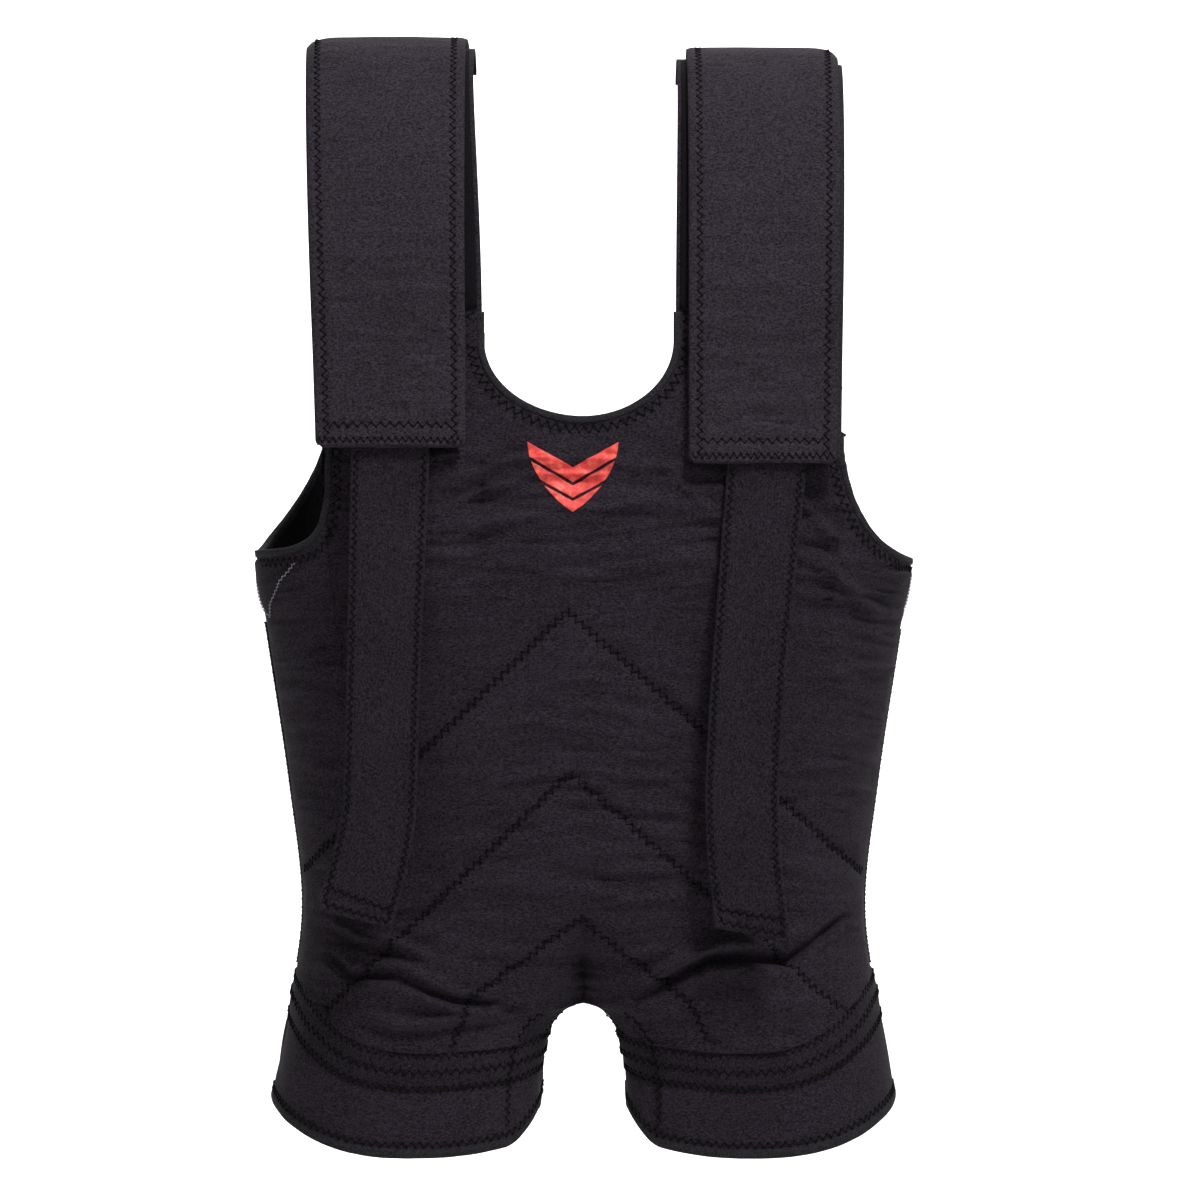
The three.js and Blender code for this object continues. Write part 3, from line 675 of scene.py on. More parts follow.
def neck_edge(side, name, share, grow=0.0):
    angle = math.pi / 2 * np.asarray(share, float)
    x = (NECK_HALF_WIDTH[side, name] + grow) * np.sin(angle)
    return x, STRAP_SEAM_HEIGHT - (NECK_DROP[side] + grow) * np.cos(angle)


def strap_outer(side, name):
    return ARMHOLE_MIDDLE - ARMHOLE_REACH[side, name]


def armhole_edge(side, name, share, grow=0.0):
    """The armhole from its top (0) to the side seam (1), as way round the body and height."""
    reach, power = ARMHOLE_REACH[side, name] + grow, ARMHOLE_POWER[side, name]
    drop = ARMHOLE_TOP_HEIGHT - ARMPIT_HEIGHT[name] + grow
    last = math.acos((ARMHOLE_OVERSHOOT / reach) ** (power / 2))
    angle = last * np.asarray(share, float)
    x = ARMHOLE_MIDDLE - reach * np.cos(angle) ** (2 / power)
    height = ARMHOLE_TOP_HEIGHT - drop * (np.sin(angle) / math.sin(last)) ** (2 / power)
    way = round_body[side].way(x, height)
    start = way[0]
    return start + (way - start) * (1 - start) / (way[-1] - start), height


def leg_seam_height(seam, side, way):
    """Height of a leg seam where the front or back has gone way of the distance to the side."""
    front, outer, inner, power = seam
    level = SEAM_LEVEL_SHARE
    height = np.full(np.shape(way), front + 0.02)
    for _ in range(4):
        x = np.abs(round_body[side].x(way, height))
        edge, gap = thigh_seam(height), leg_gap(height)
        around = (x - edge) / (girth(height, "half_width") - edge)
        inside = np.clip((edge - x) / (edge - gap), 0, 1)
        rise = outer * np.clip((around - level) / (1 - level), 0, 1) ** 2.6
        inward = np.clip(1 - np.maximum(around, 0) / level + inside, 0, 2) / 2
        height = front + np.where(around > level, rise, inner * inward ** power)
    return height


def seam_height_at(seam, side, way):
    return leg_seam_height(seam, side, np.array([way]))[0]


def seam_way(side, height):
    """The way at which the inner thigh's seam lies at a height."""
    return float(round_body[side].way(np.array([thigh_seam(height)]), np.array([height]))[0])


# ---- Trunk panels ----

def half_outline(side, name):
    """Matching points of a half panel's top and bottom edge, from the middle to the side,
    each as its share of the half width and its height."""
    around = round_body[side]
    neck, strap, drop, arm, crotch = 28, 42, 14, 70, 16
    x_neck, h_neck = neck_edge(side, name, np.linspace(0, 1, neck, endpoint=False))
    w_neck = around.way(x_neck, h_neck)
    outer = strap_outer(side, name)
    seam = np.full(strap, STRAP_SEAM_HEIGHT)
    w_strap = around.way(np.linspace(NECK_HALF_WIDTH[side, name], outer, strap), seam)
    h_drop = np.linspace(STRAP_SEAM_HEIGHT, ARMHOLE_TOP_HEIGHT, drop + 1)[1:]
    w_drop = around.way(np.full(drop, outer), h_drop)
    w_arm, h_arm = armhole_edge(side, name, np.linspace(0, 1, arm + 1))
    top_way = np.concatenate([w_neck, w_strap, w_drop, w_arm[1:]])
    top_height = np.concatenate([h_neck, seam, h_drop, h_arm[1:]])
    total = len(top_way)
    low = seam_height_at(BAND_TOP, side, 0.12)
    h_crotch = mix(CROTCH_HEIGHT - 0.0005, low, np.linspace(0, 1, crotch) ** 1.3)
    x_crotch = thigh_seam(h_crotch) * np.minimum(1, np.linspace(0, 4, crotch) ** 0.7)
    last_way = float(around.way(x_crotch[-1:], h_crotch[-1:])[0])
    w_band = mix(last_way, 1, np.linspace(0, 1, total - crotch + 1)[1:])
    h_band = leg_seam_height(BAND_TOP, side, w_band)
    bottom_height = np.concatenate([h_crotch, h_band])
    bottom_x = np.concatenate([x_crotch, around.x(w_band, h_band)])
    top = around.x(top_way, top_height) / girth(top_height, "half_width")
    return top, top_height, bottom_x / girth(bottom_height, "half_width"), bottom_height


def trunk_panel(side, name, nodes):
    halves = [half_outline(side, which) for which in ("right", "left")]
    right = [edge[:0:-1] * (-1 if k % 2 == 0 else 1) for k, edge in enumerate(halves[0])]
    top, top_height, bottom, bottom_height = (
        np.concatenate([a, b])[:: -side, None] for a, b in zip(right, halves[1])
    )
    rows = np.linspace(0, 1, 300)[None]
    height = mix(bottom_height, top_height, rows)
    x = mix(bottom, top, rows) * girth(height, "half_width")
    piece = cloth_piece(name, trunk_point(side, x, height), PANEL_CLOTH, quilt, inside=lining)
    add_piece(piece, "suit", "quilt_cloth", *nodes)


# ---- Edge tapes ----

def edge_frame(side, outline):
    """Edge points on the trunk, the way into the cloth and the way out of it. outline gives
    the edge as x and height, moved into the cloth by its argument."""
    x, height = outline(0)
    edge, outward = trunk_point(side, x, height), smooth_point(side, x, height)[1]
    return edge, square_to(trunk_point(side, *outline(0.008)) - edge, outward), outward


def edge_tape(name, edge, into, outward):
    """Tape wrapped round an edge: a tube with a nearly square section and closed ends."""

    def flattened(wave, power):
        return np.sign(wave) * np.abs(wave) ** power

    turn = np.linspace(0, 2 * math.pi, 17)[:-1]
    half, half_depth = EDGE_TAPE / 2, EDGE_TAPE_DEPTH / 2
    a = half - EDGE_TAPE_SHIFT[0] + flattened(np.cos(turn), 0.45) * (half + EDGE_TAPE_SPARE[0])
    b = EDGE_TAPE_SHIFT[1] - half_depth
    b = b + flattened(np.sin(turn), 0.55) * (half_depth + EDGE_TAPE_SPARE[1])
    into = square_to(into, unit(np.gradient(edge, axis=0)))
    ring = edge[:, None] + into[:, None] * a[None, :, None] + outward[:, None] * b[None, :, None]
    points = np.concatenate([ring, ring[:, :1]], axis=1)
    piece = mesh_object(name, points, grid_faces(*points.shape[:2]), cloth_lengths(points))
    piece.data.materials.append(binding)
    join_doubles(piece, close_ends=True)
    return piece


def neck_line(side, grow):
    """The neckline and a little of both straps, from right to left, moved outward by grow."""
    share = np.linspace(0, 1, 46)
    above = STRAP_SEAM_HEIGHT + np.linspace(0, NECK_TAPE_RISE, 8)[1:]
    x, height = neck_edge(side, "right", share[:0:-1], grow)
    x_left, height_left = neck_edge(side, "left", share, grow)
    beside = np.ones(len(above))
    xs = (beside * -x[0], -x, x_left, beside * x_left[-1])
    return np.concatenate(xs), np.concatenate([above[::-1], height, height_left, above])


def neck_binding(side, name, node, rows):
    tape = edge_tape(name, *edge_frame(side, lambda grow: neck_line(side, grow)))
    add_piece(tape, "suit", "binding_tape", node)
    trunk_row(rows, side, *neck_line(side, EDGE_ROW), STITCH_LIFT, EDGE_STITCH)


def armhole_line(side, name, grow):
    """The edge round the armhole to the side seam, at the back from the strap seam down."""
    way, height = armhole_edge(side, name, np.linspace(0, 1, 76), grow)
    x = round_body[side].x(way, height)
    if side > 0:
        above = np.linspace(STRAP_SEAM_HEIGHT, ARMHOLE_TOP_HEIGHT, 14, endpoint=False)
        x = np.concatenate([np.full(len(above), strap_outer(side, name) - grow), x])
        height = np.concatenate([above, height])
    return SIDES[name] * x, height


def armhole_binding(name, rows):
    """One tape and one row of stitches, down the front edge and up the back edge."""
    halves = []
    for side in (-1, 1):
        frames = edge_frame(side, lambda grow: armhole_line(side, name, grow))
        x, height = armhole_line(side, name, EDGE_ROW)
        line, up = trunk_point(side, x, height, STITCH_LIFT), smooth_point(side, x, height)[1]
        halves.append([v if side < 0 else v[::-1][1:] for v in (*frames, line, up)])
    edge, into, outward, line, up = (np.concatenate(half) for half in zip(*halves))
    tape = edge_tape(f"{name}_armhole_tape", edge, into, outward)
    add_piece(tape, "suit", "binding_tape", f"{name}_armhole_binding")
    rows.zigzag(line, up, *EDGE_STITCH)


# ---- Legs ----

def leg_loop():
    """Places round a leg: the side of the body, the way to the side seam, and for the
    inner wall between front and back how far it has gone across."""
    front = [(-1, w, 0) for w in np.linspace(0, 1, 90)]
    back = [(1, w, 0) for w in np.linspace(1, 0, 90)[1:]]
    wall = [(0, 0, t) for t in np.linspace(0, 1, 22)[1:-1]]
    return np.array(front + back + wall, float).T


LOOP_SIDE, LOOP_WAY, LOOP_WALL = leg_loop()


def leg_rise(x, height, side):
    """How far the leg's cloth stands out from the smooth surface."""
    pucker = leg_noise(x * 150 + side * 5, height * 16)
    seam = groove(np.abs(x) - thigh_seam(height), 0.0024)
    return 0.0005 * pucker + 0.0012 * broad_noise(x * 30 + 3, height * 26 + side) - 0.0014 * seam


def leg_surface(side, x, height, lift):
    point, normal = smooth_point(side, x, height)
    return point + normal * (leg_rise(x, height, side) + lift)[..., None]


def leg_line(sign, height, lift=0.0):
    """A closed line on the leg's outer face, from the height of each place round it."""
    result = np.zeros((len(height), 3))
    for side in (-1, 1):
        pick = LOOP_SIDE == side
        x = sign * round_body[side].x(np.maximum(LOOP_WAY[pick], 1e-4), height[pick])
        result[pick] = leg_surface(side, x, height[pick], lift)
    pick = LOOP_SIDE == 0
    y = mix(CROTCH_HALF_DEPTH, -CROTCH_HALF_DEPTH, LOOP_WALL[pick])
    x = sign * (leg_gap(height[pick]) - lift)
    result[pick] = stack(x, y, height[pick] - ORIGIN_HEIGHT)
    return result


def loop_height(seam):
    """The height of a leg seam at each place round the leg."""
    height = np.zeros(len(LOOP_SIDE))
    for side in (-1, 1):
        pick = LOOP_SIDE == side
        height[pick] = leg_seam_height(seam, side, LOOP_WAY[pick])
    back, front = (seam_height_at(seam, side, 0.0) for side in (1, -1))
    pick = LOOP_SIDE == 0
    height[pick] = mix(back, front, LOOP_WALL[pick])
    return height


def leg_ring(name, sign, low, high, rows, material, thickness=LEG_CLOTH, bow=0.0006, dip=0.0010):
    """A ring of cloth between two heights, bowed out in its middle and drawn in at its edges."""
    columns = []
    for t in np.linspace(0, 1, rows):
        edge = min(t, 1 - t) * rows
        lift = bow * math.sin(math.pi * t) - dip * math.exp(-(edge / 1.2) ** 2)
        columns.append(leg_line(sign, mix(low, high, t), lift))
    points = ordered(np.stack(columns, axis=1), sign)
    return cloth_piece(name, points, thickness, material, closed=True, inside=lining)


# Rows of stitches round a leg: a seam, the height above it, the lift off the cloth, the pitch.
LEG_ROWS = (
    (BAND_TOP, -0.0018, 0.0004, 0.0026),
    (BAND_TOP, -0.0125, 0.0011, 0.0030),
    (BAND_BOTTOM, 0.0018, 0.0004, 0.0026),
    (HEM, 0.0088, 0.0006, 0.0028),
)


def leg_row(rows, sign, seam, above, lift, pitch):
    height = loop_height(seam) + above
    line, outer = (leg_line(sign, height, rise) for rise in (lift, lift + 0.01))
    line, outer = (np.concatenate([v, v[:1]]) for v in (line, outer))
    rows.zigzag(line, unit(outer - line), LEG_STITCH_WIDTH, pitch)


def leg_pieces(name, rows):
    sign = SIDES[name]
    hem, low, high = (loop_height(seam) for seam in (HEM, BAND_BOTTOM, BAND_TOP))
    band = leg_ring(f"{name}_leg_band_cloth", sign, low, high + BAND_TUCK, 16, webbing, bow=0.0008)
    add_piece(band, "suit", "webbing", f"{name}_leg_band")
    cuff = leg_ring(f"{name}_leg_cuff_cloth", sign, hem + 0.003, low, 26, quilt)
    add_piece(cuff, "suit", "quilt_cloth", f"{name}_leg_cuff")
    tape = leg_ring(
        f"{name}_hem_tape", sign, hem, hem + HEM_HEIGHT, 8, binding, LEG_CLOTH + 0.0016, 0.0012, 0
    )
    add_piece(tape, "suit", "binding_tape", f"{name}_hem_binding")
    for leg_stitching in LEG_ROWS:
        leg_row(rows, sign, *leg_stitching)
    for side in (-1, 1):
        bottom, top = (seam_height_at(seam, side, 0.1) for seam in (HEM, BAND_TOP))
        height = np.linspace(bottom + 0.004, top, 60)
        x = sign * (thigh_seam(height) + 0.0032)
        line, up = leg_surface(side, x, height, 0.0010), smooth_point(side, x, height)[1]
        rows.zigzag(line, up, *SEAM_STITCH)


def inner_thigh(name, rows):
    """The panel between the front and back panels on the inside of the leg."""
    sign = SIDES[name]
    half, levels = 24, 30
    points = []
    for share in np.linspace(0, 1, levels):
        line = []
        for side, ways in ((1, np.linspace(1, 0, half)), (-1, np.linspace(0, 1, half))):
            low = leg_seam_height(BAND_TOP, side, ways * seam_way(side, 0.072))
            height = mix(low, CROTCH_HEIGHT - 0.0006, share)
            x = sign * mix(leg_gap(height) + 1e-5, thigh_seam(height) + 0.0012, ways)
            line.append(leg_surface(side, x, height, -0.0002))
        points.append(np.concatenate(line))
    points = ordered(np.stack(points, axis=1), sign)
    piece = cloth_piece(f"{name}_inner_thigh_cloth", points, LEG_CLOTH, quilt, inside=lining)
    nodes = [f"{name}_inner_thigh_panel"] + (["crotch_gusset"] if sign > 0 else [])
    add_piece(piece, "suit", "quilt_cloth", *nodes)
    for side in (-1, 1):
        height = np.linspace(CROTCH_HEIGHT - 0.003, seam_height_at(BAND_TOP, side, 0.1), 40)
        for x, lift in ((thigh_seam(height) + 0.003, STITCH_LIFT), (leg_gap(height) + 0.0045, 0.0008)):
            trunk_row(rows, side, sign * x, height, lift, SEAM_STITCH)


# ---- Shoulders ----

STRAP_FRONT = float(girth(STRAP_SEAM_HEIGHT, "front"))
STRAP_BACK = float(girth(STRAP_SEAM_HEIGHT, "back"))


def arch_point(rise, x, angle, lift):
    """A point over the shoulder: 0 degrees at the front seam and 180 at the back seam."""
    turn = np.radians(angle)
    radius = (STRAP_FRONT + STRAP_BACK) / 2
    normal = unit(stack(0 * turn, -np.cos(turn) / radius, np.sin(turn) / rise))
    y = (STRAP_BACK - STRAP_FRONT) / 2 - radius * np.cos(turn)
    z = STRAP_SEAM_HEIGHT + rise * np.sin(turn) - ORIGIN_HEIGHT
    return stack(x, y, z) + normal * np.asarray(lift)[..., None]


def strap_curl(x, angle):
    """Near its seams the strap bends across its width to follow the trunk."""
    fade = 1 - smooth(np.minimum(angle, 180 - angle), 0, 35)
    front = -(cloth_depth(-1, x, STRAP_SEAM_HEIGHT) - STRAP_FRONT)
    back = cloth_depth(1, x, STRAP_SEAM_HEIGHT) - STRAP_BACK
    return np.where(angle < 90, front, back) * fade


def over_shoulder(name, x, station, lift):
    """A point of the strap whose station is an angle on the arch, or below the seam a
    negative share of the way down to the flap's lower edge."""
    down = np.clip(-station, 0, None)
    fall = STRAP_SEAM_HEIGHT - FLAP_END_HEIGHT[name]
    normal = unit(stack(0 * down, -1 + 0 * down, FLAP_KICK * 1.5 * np.sqrt(down) / fall))
    y, z = -STRAP_FRONT - FLAP_KICK * down ** 1.5, STRAP_SEAM_HEIGHT - fall * down - ORIGIN_HEIGHT
    low = stack(x, y, z) + normal * np.asarray(lift)[..., None]
    arch = arch_point(STRAP_RISE[name], x, np.maximum(station, 0), lift)
    return np.where((station >= 0)[..., None], arch, low)


class Strap:
    """The strap of one side, with length measured from the flap's lower edge upwards."""

    def __init__(self, name):
        self.name, self.sign = name, SIDES[name]
        self.noise = Noise(40 + self.sign)
        stations = np.concatenate([np.linspace(-1, 0, 60)[:-1], np.linspace(0, 180, 400)])
        middle = np.full(len(stations), FLAP_MIDDLE[name][0])
        line = over_shoulder(name, middle, stations, np.full(len(stations), FLAP_LIFT))
        lengths = lengths_along(line)
        self.stations, self.lengths, self.total = stations, lengths, float(lengths[-1])
        self.hinge = float(np.interp(HINGE_ANGLE, stations, lengths))

    def point(self, across, length, lift=0.0):
        """across runs from -1 at the inner edge to 1 at the outer one."""
        station = np.interp(length, self.lengths, self.stations)
        settle = 1 - smooth(station, 108, 160)
        places = (0, self.hinge, self.total)
        middle, width = (np.interp(length, places, sizes[self.name]) for sizes in (FLAP_MIDDLE, FLAP_WIDTH))
        x = middle + across * width / 2
        wrinkle = self.noise(across * 1.7 + 4, length * 130)
        wrinkle = wrinkle + 0.6 * self.noise(across * 3.1, length * 270 + 5)
        low = 0.35 + 0.65 * smooth(-length, -0.20, -0.05)
        rise = 0.0009 * wrinkle * low * (1 - np.abs(across) ** 6)
        rise = rise - 0.0010 * smooth(np.abs(across), 0.93, 1.0)
        rise = rise - 0.0007 * groove(np.abs(across) - FLAP_ROW, 0.035)
        rise = rise - 0.0007 * groove(length - FLAP_LOW_ROW, 0.0022)
        rise = rise + 0.0008 * self.noise(across * 0.9 + 1, length * 13 + 3)
        shoulder = np.clip(np.sin(np.radians(np.maximum(station, 0))), 0, 1) ** 4
        rise = rise - 0.006 * shoulder * np.clip(across, 0, 1) ** 9
        point = over_shoulder(self.name, x, station, FLAP_LIFT * settle + rise + lift)
        point[..., 1] += np.where(station > 90, strap_curl(x, station), 0)
        point[..., 0] *= self.sign
        return point

    def normal(self, across, length):
        point = self.point(across, length)
        return unit(self.point(across, length, 0.01) - point)

    def row(self, rows, across, length, stitch):
        across, length = np.broadcast_arrays(across, length)
        rows.zigzag(self.point(across, length, STITCH_LIFT), self.normal(across, length), *stitch)


def over_hinge(piece, name):
    """Bakes a strap piece's transform into its mesh."""
    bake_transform(piece)


def rounded_corners(across, length, half_width, radius):
    """Pulls grid points near the flap's two lower corners onto a round."""
    over = np.clip(np.abs(across) * half_width - (half_width - radius), 0, None)
    low = np.clip(radius - length, 0, None)
    reach = np.maximum(np.hypot(over, low), 1e-9)
    pull = np.where((over > 0) & (low > 0), np.maximum(over, low) / reach, 1)
    side = np.where(over > 0, half_width - radius + over * pull, np.abs(across) * half_width)
    return np.sign(across) * side / half_width, np.where(low > 0, radius - low * pull, length)


def shoulder_flap(name, rows):
    strap = Strap(name)
    across, length = np.linspace(-1, 1, 60), np.linspace(0, strap.total, 420)
    across, length = np.meshgrid(across, length, indexing="ij")
    across, length = rounded_corners(across, length, FLAP_WIDTH[name][0] / 2, 0.004)
    points = ordered(strap.point(across, length), strap.sign)
    piece = cloth_piece(f"{name}_shoulder_flap", points, FLAP_CLOTH, strap_cloth)
    over_hinge(piece, name)
    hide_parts(f"{name}_back_strap", f"{name}_flap")
    flat = (float(np.mean(FLAP_WIDTH[name])), strap.total)
    flap_stitches(strap, rows)
    return strap


def flap_stitches(strap, rows):
    """Rows along both edges, two across the lower edge and two across the back seam."""
    for edge in (-FLAP_ROW, FLAP_ROW):
        strap.row(rows, edge, np.linspace(0.006, strap.total - 0.004, 700), FLAP_STITCH)
    seam = strap.total - 0.006
    for length, reach, stitch in (
        (FLAP_LOW_ROW, 0.80, FLAP_STITCH),
        (0.004, 0.95, FLAP_END_STITCH),
        (seam, 0.93, BACK_SEAM_STITCH),
        (seam - 0.009, 0.93, BACK_SEAM_STITCH),
    ):
        strap.row(rows, np.linspace(-reach, reach, 160), length, stitch)


# How far each flap's hook layer reaches across it. On the left it shows beyond the outer edge, and that
# grey strip is a painted highlight for the flap's edge curving away.
HOOK_REACH_AND_PAINTED_EDGE_HIGHLIGHT = {"left": (-0.96, 1.055), "right": (-0.97, 0.985)}


def flap_backing(name, strap):
    across, length = np.linspace(*HOOK_REACH_AND_PAINTED_EDGE_HIGHLIGHT[name], 30), np.linspace(0.002, strap.hinge - 0.012, 150)
    across, length = np.meshgrid(across, length, indexing="ij")
    # Its edges lift 1 mm and it is made of the grey binding cloth. Where it shows past the left flap's
    # outer edge, it is a painted highlight for the edge curving away.
    points = strap.point(across, length, -FLAP_CLOTH - 0.0001 + 0.0010 * smooth(np.abs(across), 0.93, 1))
    piece = cloth_piece(f"{name}_hook_layer_and_painted_highlight", ordered(points, strap.sign), 0.0014, binding)
    add_piece(piece, f"{name}_flap", "hook_and_loop", f"{name}_hook_pad")


def front_strap_point(name, share, angle, lift, inset=0.0):
    low, high = FRONT_STRAP_INNER[name]
    inner = mix(low, high, smooth(angle, 0, 70)) + inset
    x = mix(inner, FRONT_STRAP_OUTER - inset, share)
    above = np.maximum(angle, 0)
    point = arch_point(STRAP_RISE[name], x, above, lift + 0 * x)
    point[..., 1] += strap_curl(x, above)
    point[..., 2] += np.minimum(angle, 0) * 0.0026
    point[..., 0] *= SIDES[name]
    return ordered(point, SIDES[name])


def front_strap(name):
    """The strap under the flap, and the loop layer on it that the flap closes on."""
    angle, share = np.meshgrid(np.linspace(-2, 108, 170), np.linspace(0, 1, 44))
    point = front_strap_point(name, share, angle, 0.0008)
    piece = cloth_piece(f"{name}_front_strap_cloth", point, STRAP_CLOTH, quilt, inside=lining)
    add_piece(piece, "suit", "strap_cloth", f"{name}_front_strap")
    angle, share = np.meshgrid(np.linspace(6, 76, 90), np.linspace(0, 1, 30))
    point = front_strap_point(name, share, angle, 0.0028, 0.003)
    piece = cloth_piece(f"{name}_loop_layer", point, 0.0016, hook)
    add_piece(piece, "suit", "hook_and_loop", f"{name}_loop_pad")


# ---- Pull tails ----

# How far each tail's middle strays sideways, by the share of its length from the top,
# how far its end turns about its own length, and how far its end slants.
TAIL_PATHS = {
    "left": ([(0, 0.1174), (0.47, 0.1046), (0.70, 0.1008), (0.86, 0.1026), (1, 0.1085)], -0.10, -0.30),
    "right": ([(0, 0.1226), (0.476, 0.1267), (0.78, 0.1293), (0.88, 0.1350), (1, 0.1459)], 0.14, 0.10),
}


def tail_line(name):
    shares = np.linspace(0, 1, 240)
    xs, ys = zip(*TAIL_PATHS[name][0])
    stray = np.interp(shares, xs, ys)
    soften = np.hanning(41)
    padded = np.pad(stray, len(soften) // 2, mode="edge")
    return shares, np.convolve(padded, soften / soften.sum(), mode="valid")


def pull_tail(name, rows):
    sign = SIDES[name]
    shares, stray = tail_line(name)
    noise = Noise(70 + sign)
    turn, slant = TAIL_PATHS[name][1:]
    under = np.array([FLAP_LIFT - FLAP_CLOTH - 0.0008])
    start = over_shoulder(name, np.array([0.12]), np.array([-1.0]), under)[0]

    def point(across, down, lift=0.0):
        """down is a share of the length below the flap, negative under the flap."""
        below = np.clip(down, 0, 1)
        stray_here = np.interp(below, shares, stray)
        lean = np.gradient(stray, shares * TAIL_LENGTH)
        tilt = np.interp(below, shares, lean)
        half = across * TAIL_WIDTH / 2 * mix(1.0, 0.94, smooth(below, 0, 0.5))
        roll = turn * smooth(below, 0.55, 1.0) * across
        x = stray_here + half
        z = start[2] - down * TAIL_LENGTH + half * (0.9 * tilt + slant * smooth(below, 0.7, 1.0))
        y = start[1] - TAIL_LEAN * below + 0.0012 * smooth(below, 0, 0.04)
        y = y + roll * 0.03 - 0.0035 * np.sin(math.pi * 1.6 * below) * smooth(below, 0.05, 0.3)
        curl = 0.006 * smooth(below, 0.93, 1.0) * (across * -sign > 0) * np.abs(across) ** 3
        rise = 0.00035 * noise(across * 2 + 3, down * 26) - 0.0004 * groove(np.abs(across) - 0.86, 0.04)
        rise = rise + 0.0010 * noise(across * 0.8, down * 5 + 2) * smooth(below, 0.02, 0.15)
        return stack(sign * x, y - rise - lift - curl, z)

    def row(across, down):
        line = point(*np.broadcast_arrays(across, down), STITCH_LIFT)
        rows.zigzag(line, np.broadcast_to([0.0, -1.0, 0.0], line.shape), *TAIL_STITCH)

    across, down = np.linspace(-1, 1, 34), np.linspace(1, -TAIL_ANCHOR / TAIL_LENGTH, 230)
    grid = ordered(point(*np.meshgrid(across, down, indexing="ij")), sign)
    piece = cloth_piece(f"{name}_pull_tail", grid, TAIL_CLOTH - 0.0004, webbing)
    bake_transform(piece)
    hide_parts(f"{name}_tail", f"{name}_tail_anchor")
    for edge in (-0.86, 0.86):
        row(edge, np.linspace(0.012, 0.985, 300))
    for low in (0.955, 0.984):
        row(np.linspace(-0.84, 0.84, 60), low)


# ---- Quilting rows, side seams, patches and emblem ----

def chevron_rows(side, rows):
    """A zigzag along each quilting line, as far as the side seam or the leg band."""
    for points in CHEVRONS:
        points = np.array(points)
        count = int(round(lengths_along(points)[-1] / 0.0008)) + 1
        x, height = resample(points, count).T
        way = np.abs(round_body[side].way(x, height))
        keep = (height > leg_seam_height(BAND_TOP, side, way) + 0.003)
        keep &= np.abs(x) < girth(height, "half_width") * 0.985
        last = len(keep) if keep.all() else int(np.argmin(keep))
        if last > 8:
            trunk_row(rows, side, x[:last], height[:last], 0.0005, QUILT_STITCH)


def side_seam(name, rows):
    """A tape down the side seam, with a ridge along the seam and a row near each edge."""
    sign = SIDES[name]
    height = np.linspace(0.120, ARMPIT_HEIGHT[name] - 0.046, 90)
    half_width = girth(height, "half_width")
    points = []
    for y in np.linspace(-SIDE_TAPE_HALF_WIDTH, SIDE_TAPE_HALF_WIDTH, 13):
        reach = girth(height, "front" if y < 0 else "back")
        across = bulge(y / reach, girth(height, "squareness"))
        ridge = 0.0006 - 0.0005 * (abs(y) / SIDE_TAPE_HALF_WIDTH) ** 3 - 0.0005 * groove(y, 0.0012)
        points.append(stack(sign * (half_width * across + ridge), y, height - ORIGIN_HEIGHT))
    piece = cloth_piece(f"{name}_side_tape", ordered(np.stack(points), sign), 0.0016, webbing)
    add_piece(piece, "suit", "webbing", f"{name}_side_seam_tape")
    for y in (-0.0068, 0.0068):
        line = stack(sign * (half_width + 0.0004), y, height - ORIGIN_HEIGHT)
        rows.zigzag(line, np.broadcast_to([float(sign), 0, 0], line.shape), *SEAM_STITCH)


# The underarm patch's tip and half width, as shares of the way from the side seam to the
# middle, towards the back, and its depth. As worn, the right one has turned to the front.
PATCH_TIP = {"left": 0.05, "right": -0.16}
PATCH_REACH = 0.17
PATCH_DEPTH = 0.034
PATCH_ROW_GAP = 0.0008
PATCH_ROW_LIFT = 0.0008


def underarm_patch(name, pale):
    """The patch under the armhole's lowest point, held by a V of pale stitches."""
    sign = SIDES[name]
    tip = PATCH_TIP[name]
    points = []
    for side in (-1, 1):
        around = round_body[side]
        way, edge = armhole_edge(side, name, np.linspace(0, 1, 200), 0.006)
        ways = np.linspace(1 - (PATCH_REACH + side * tip), 1, 24)
        fall = PATCH_DEPTH * (1 - np.abs(side * (1 - ways) - tip) / PATCH_REACH)
        top = np.interp(ways, way, edge)
        low = top - 0.002 - fall
        height = mix(low[:, None], top[:, None], np.linspace(0, 1, 14)[None])
        x = sign * around.x(ways[:, None] + 0 * height, height)
        grid = trunk_point(side, x, height, 0.0005 + 0 * x)
        points.append(grid if side < 0 else grid[::-1][1:])
        below = low - PATCH_ROW_GAP
        x = sign * around.x(np.minimum(ways, 0.99), below)
        line = trunk_point(side, x, below, PATCH_ROW_LIFT + 0 * x)
        pale.zigzag(line, smooth_point(side, x, low)[1], *PATCH_STITCH)
    piece = cloth_piece(f"{name}_underarm_cloth", ordered(np.concatenate(points), sign), 0.0010, webbing)
    add_piece(piece, "suit", "webbing", f"{name}_underarm_patch")


EMBLEM_TOP = 0.4605
EMBLEM_MIDDLE = -0.0064
EMBLEM_HALF_WIDTH = 0.0290
EMBLEM_HEIGHT = 0.0450
# How far each chevron's middle hangs below its arms, as a share of the height.
EMBLEM_DROP = 0.36
EMBLEM_GRID = (81, 15)


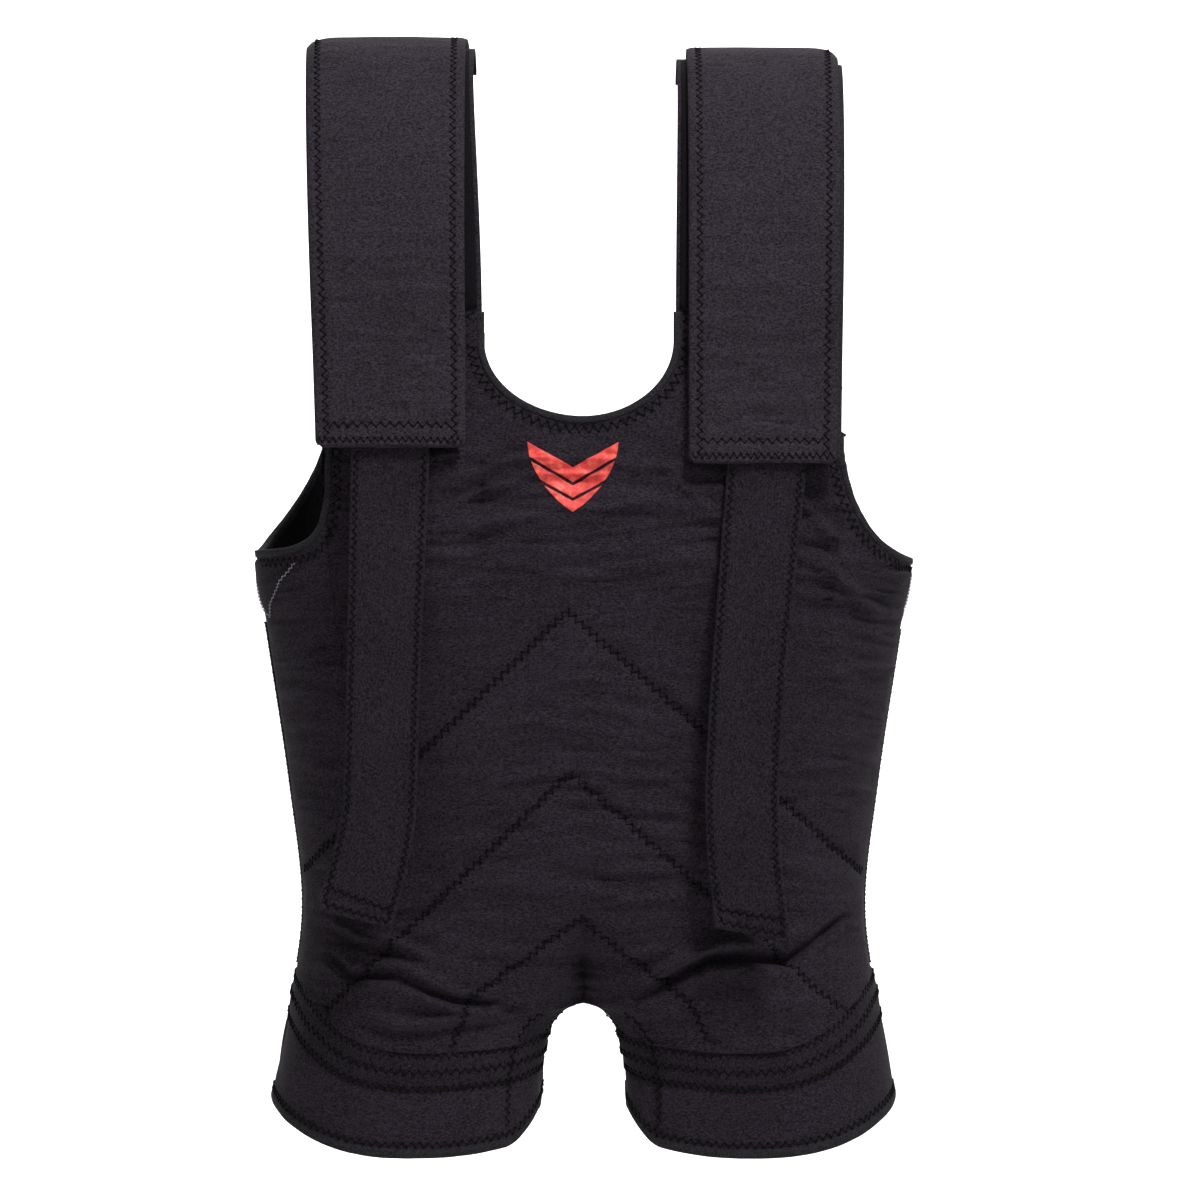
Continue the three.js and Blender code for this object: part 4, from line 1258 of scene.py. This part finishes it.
def emblem():
    """A generic chest mark: three stacked chevrons, narrowing to a point, in a thin print."""
    columns, levels = EMBLEM_GRID
    foot = 1 - EMBLEM_DROP
    points, faces = [], []
    for start, end in ((0.0, 0.20), (0.25, 0.43), (0.48, foot)):
        band = np.linspace(start, end, levels)[None]
        half = (1 - (band / foot) ** 2.2) ** 0.62
        across = np.linspace(-1, 1, columns)[:, None] * half
        down = band + EMBLEM_DROP * (1 - np.abs(across))
        x = EMBLEM_MIDDLE + across * EMBLEM_HALF_WIDTH
        faces += grid_faces(columns, levels, first=len(points) * columns * levels)
        points.append(trunk_point(-1, x, EMBLEM_TOP - down * EMBLEM_HEIGHT, 0.0004 + 0 * x))
    piece = mesh_object("chest_mark", np.stack(points), [face[::-1] for face in faces])
    join_doubles(piece)
    piece.data.materials.append(red_print)
    solid = piece.modifiers.new("thickness", "SOLIDIFY")
    solid.thickness, solid.offset = 0.0005, -1
    apply_modifiers(piece)
    add_piece(piece, "suit", "red_print", "chest_emblem")


# ---- Camera, light and floor ----

CAMERA_PLACE = (0.0109, -3.0, 0.0397)
SENSOR_WIDTH = 36
# Half of what the camera sees from side to side, at the flaps' distance in front of the middle.
VIEW_HALF_WIDTH = 0.384
FLAP_DISTANCE = 0.11
# A pale floor that sweeps up into a wall, well below the suit, which its wearer holds up.
FLOOR_HEIGHT, FLOOR_REACH = -1.1, 9.0
WALL_DISTANCE, WALL_TOP, SWEEP_RADIUS = 4.5, 6.0, 1.5
WORLD_STRENGTH = 0.34
LIGHT_AIM = (0, 0, 0.05)
# Each light's place, its size in metres and its power in watts.
LIGHTS = {
    "key": ((0.75, -1.6, 2.1), 0.5, 54),
    "fill": ((2.2, -1.6, 0.6), 1.6, 2),
    "top": ((0.3, -0.8, 2.6), 0.8, 18),
    "back": ((-0.4, 2.0, 2.2), 1.4, 16),
    "wall": ((0, 1.6, 3.4), 5, 400),
}
WALL_LIGHT_TILT = math.radians(74)


def camera():
    lens = bpy.data.cameras.new("camera")
    view = bpy.data.objects.new("camera", lens)
    bpy.context.collection.objects.link(view)
    view.location = CAMERA_PLACE
    view.rotation_euler = (math.pi / 2, 0, 0)
    lens.sensor_width = SENSOR_WIDTH
    lens.lens = SENSOR_WIDTH / (2 * VIEW_HALF_WIDTH / (-CAMERA_PLACE[1] - FLAP_DISTANCE))
    lens.clip_end = 50
    bpy.context.scene.camera = view


def floor():
    turn = np.linspace(0, math.pi / 2, 25)
    sweep_start, sweep_height = WALL_DISTANCE - SWEEP_RADIUS, FLOOR_HEIGHT + SWEEP_RADIUS
    y = np.concatenate([[-FLOOR_REACH], sweep_start + SWEEP_RADIUS * np.sin(turn), [WALL_DISTANCE]])
    z = np.concatenate([[FLOOR_HEIGHT], sweep_height - SWEEP_RADIUS * np.cos(turn), [WALL_TOP]])
    x = np.array([FLOOR_REACH, -FLOOR_REACH])[:, None]
    piece = mesh_object("floor", stack(x, y[None], z[None]), grid_faces(2, len(y)))
    pale = Nodes("floor")
    pale.surface({"Base Color": (0.95, 0.95, 0.95, 1), "Roughness": 1.0, "Specular IOR Level": 0.0})
    piece.data.materials.append(pale.material)
    piece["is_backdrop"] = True


def lights():
    world = bpy.data.worlds.new("world")
    bpy.context.scene.world = world
    world.use_nodes = True
    background = world.node_tree.nodes["Background"]
    background.inputs["Color"].default_value = (1, 1, 1, 1)
    background.inputs["Strength"].default_value = WORLD_STRENGTH
    for name, (place, size, power) in LIGHTS.items():
        lamp = bpy.data.lights.new(name, "AREA")
        lamp.energy, lamp.size = power, size
        light = bpy.data.objects.new(name, lamp)
        light.location = place
        aim = Vector(LIGHT_AIM) - Vector(place)
        light.rotation_euler = aim.to_track_quat("-Z", "Y").to_euler()
        bpy.context.collection.objects.link(light)
    bpy.data.objects["wall"].rotation_euler = (WALL_LIGHT_TILT, 0, 0)


# ---- Build everything ----

camera()
floor()
lights()
bpy.context.scene.view_settings.view_transform = "Standard"
suit_rows = Stitches("suit_stitching")
pale_rows = Stitches("underarm_stitching")
trunk_panel(-1, "front_cloth", ("front_panel", "front_lining"))
trunk_panel(1, "back_cloth", ("back_panel", "back_lining"))
neck_binding(-1, "front_neck_tape", "front_neck_binding", suit_rows)
neck_binding(1, "back_neck_tape", "back_neck_binding", suit_rows)
chevron_rows(-1, suit_rows)
chevron_rows(1, suit_rows)
emblem()
for name in SIDES:
    armhole_binding(name, suit_rows)
    underarm_patch(name, pale_rows)
    side_seam(name, suit_rows)
    leg_pieces(name, suit_rows)
    inner_thigh(name, suit_rows)
    front_strap(name)
    strap_rows = Stitches(f"{name}_strap_stitching")
    strap = shoulder_flap(name, strap_rows)
    flap_backing(name, strap)
    stitching = strap_rows.make(thread)
    over_hinge(stitching, name)
    tail_rows = Stitches(f"{name}_tail_stitching")
    pull_tail(name, tail_rows)
    add_piece(tail_rows.make(thread), f"{name}_tail", "webbing")
add_piece(suit_rows.make(thread), "suit", "quilt_cloth")
add_piece(pale_rows.make(pale_thread), "suit", "webbing")

boxes = [[list(map(float, corner)) for corner in box] for box in (cad_box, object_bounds())]
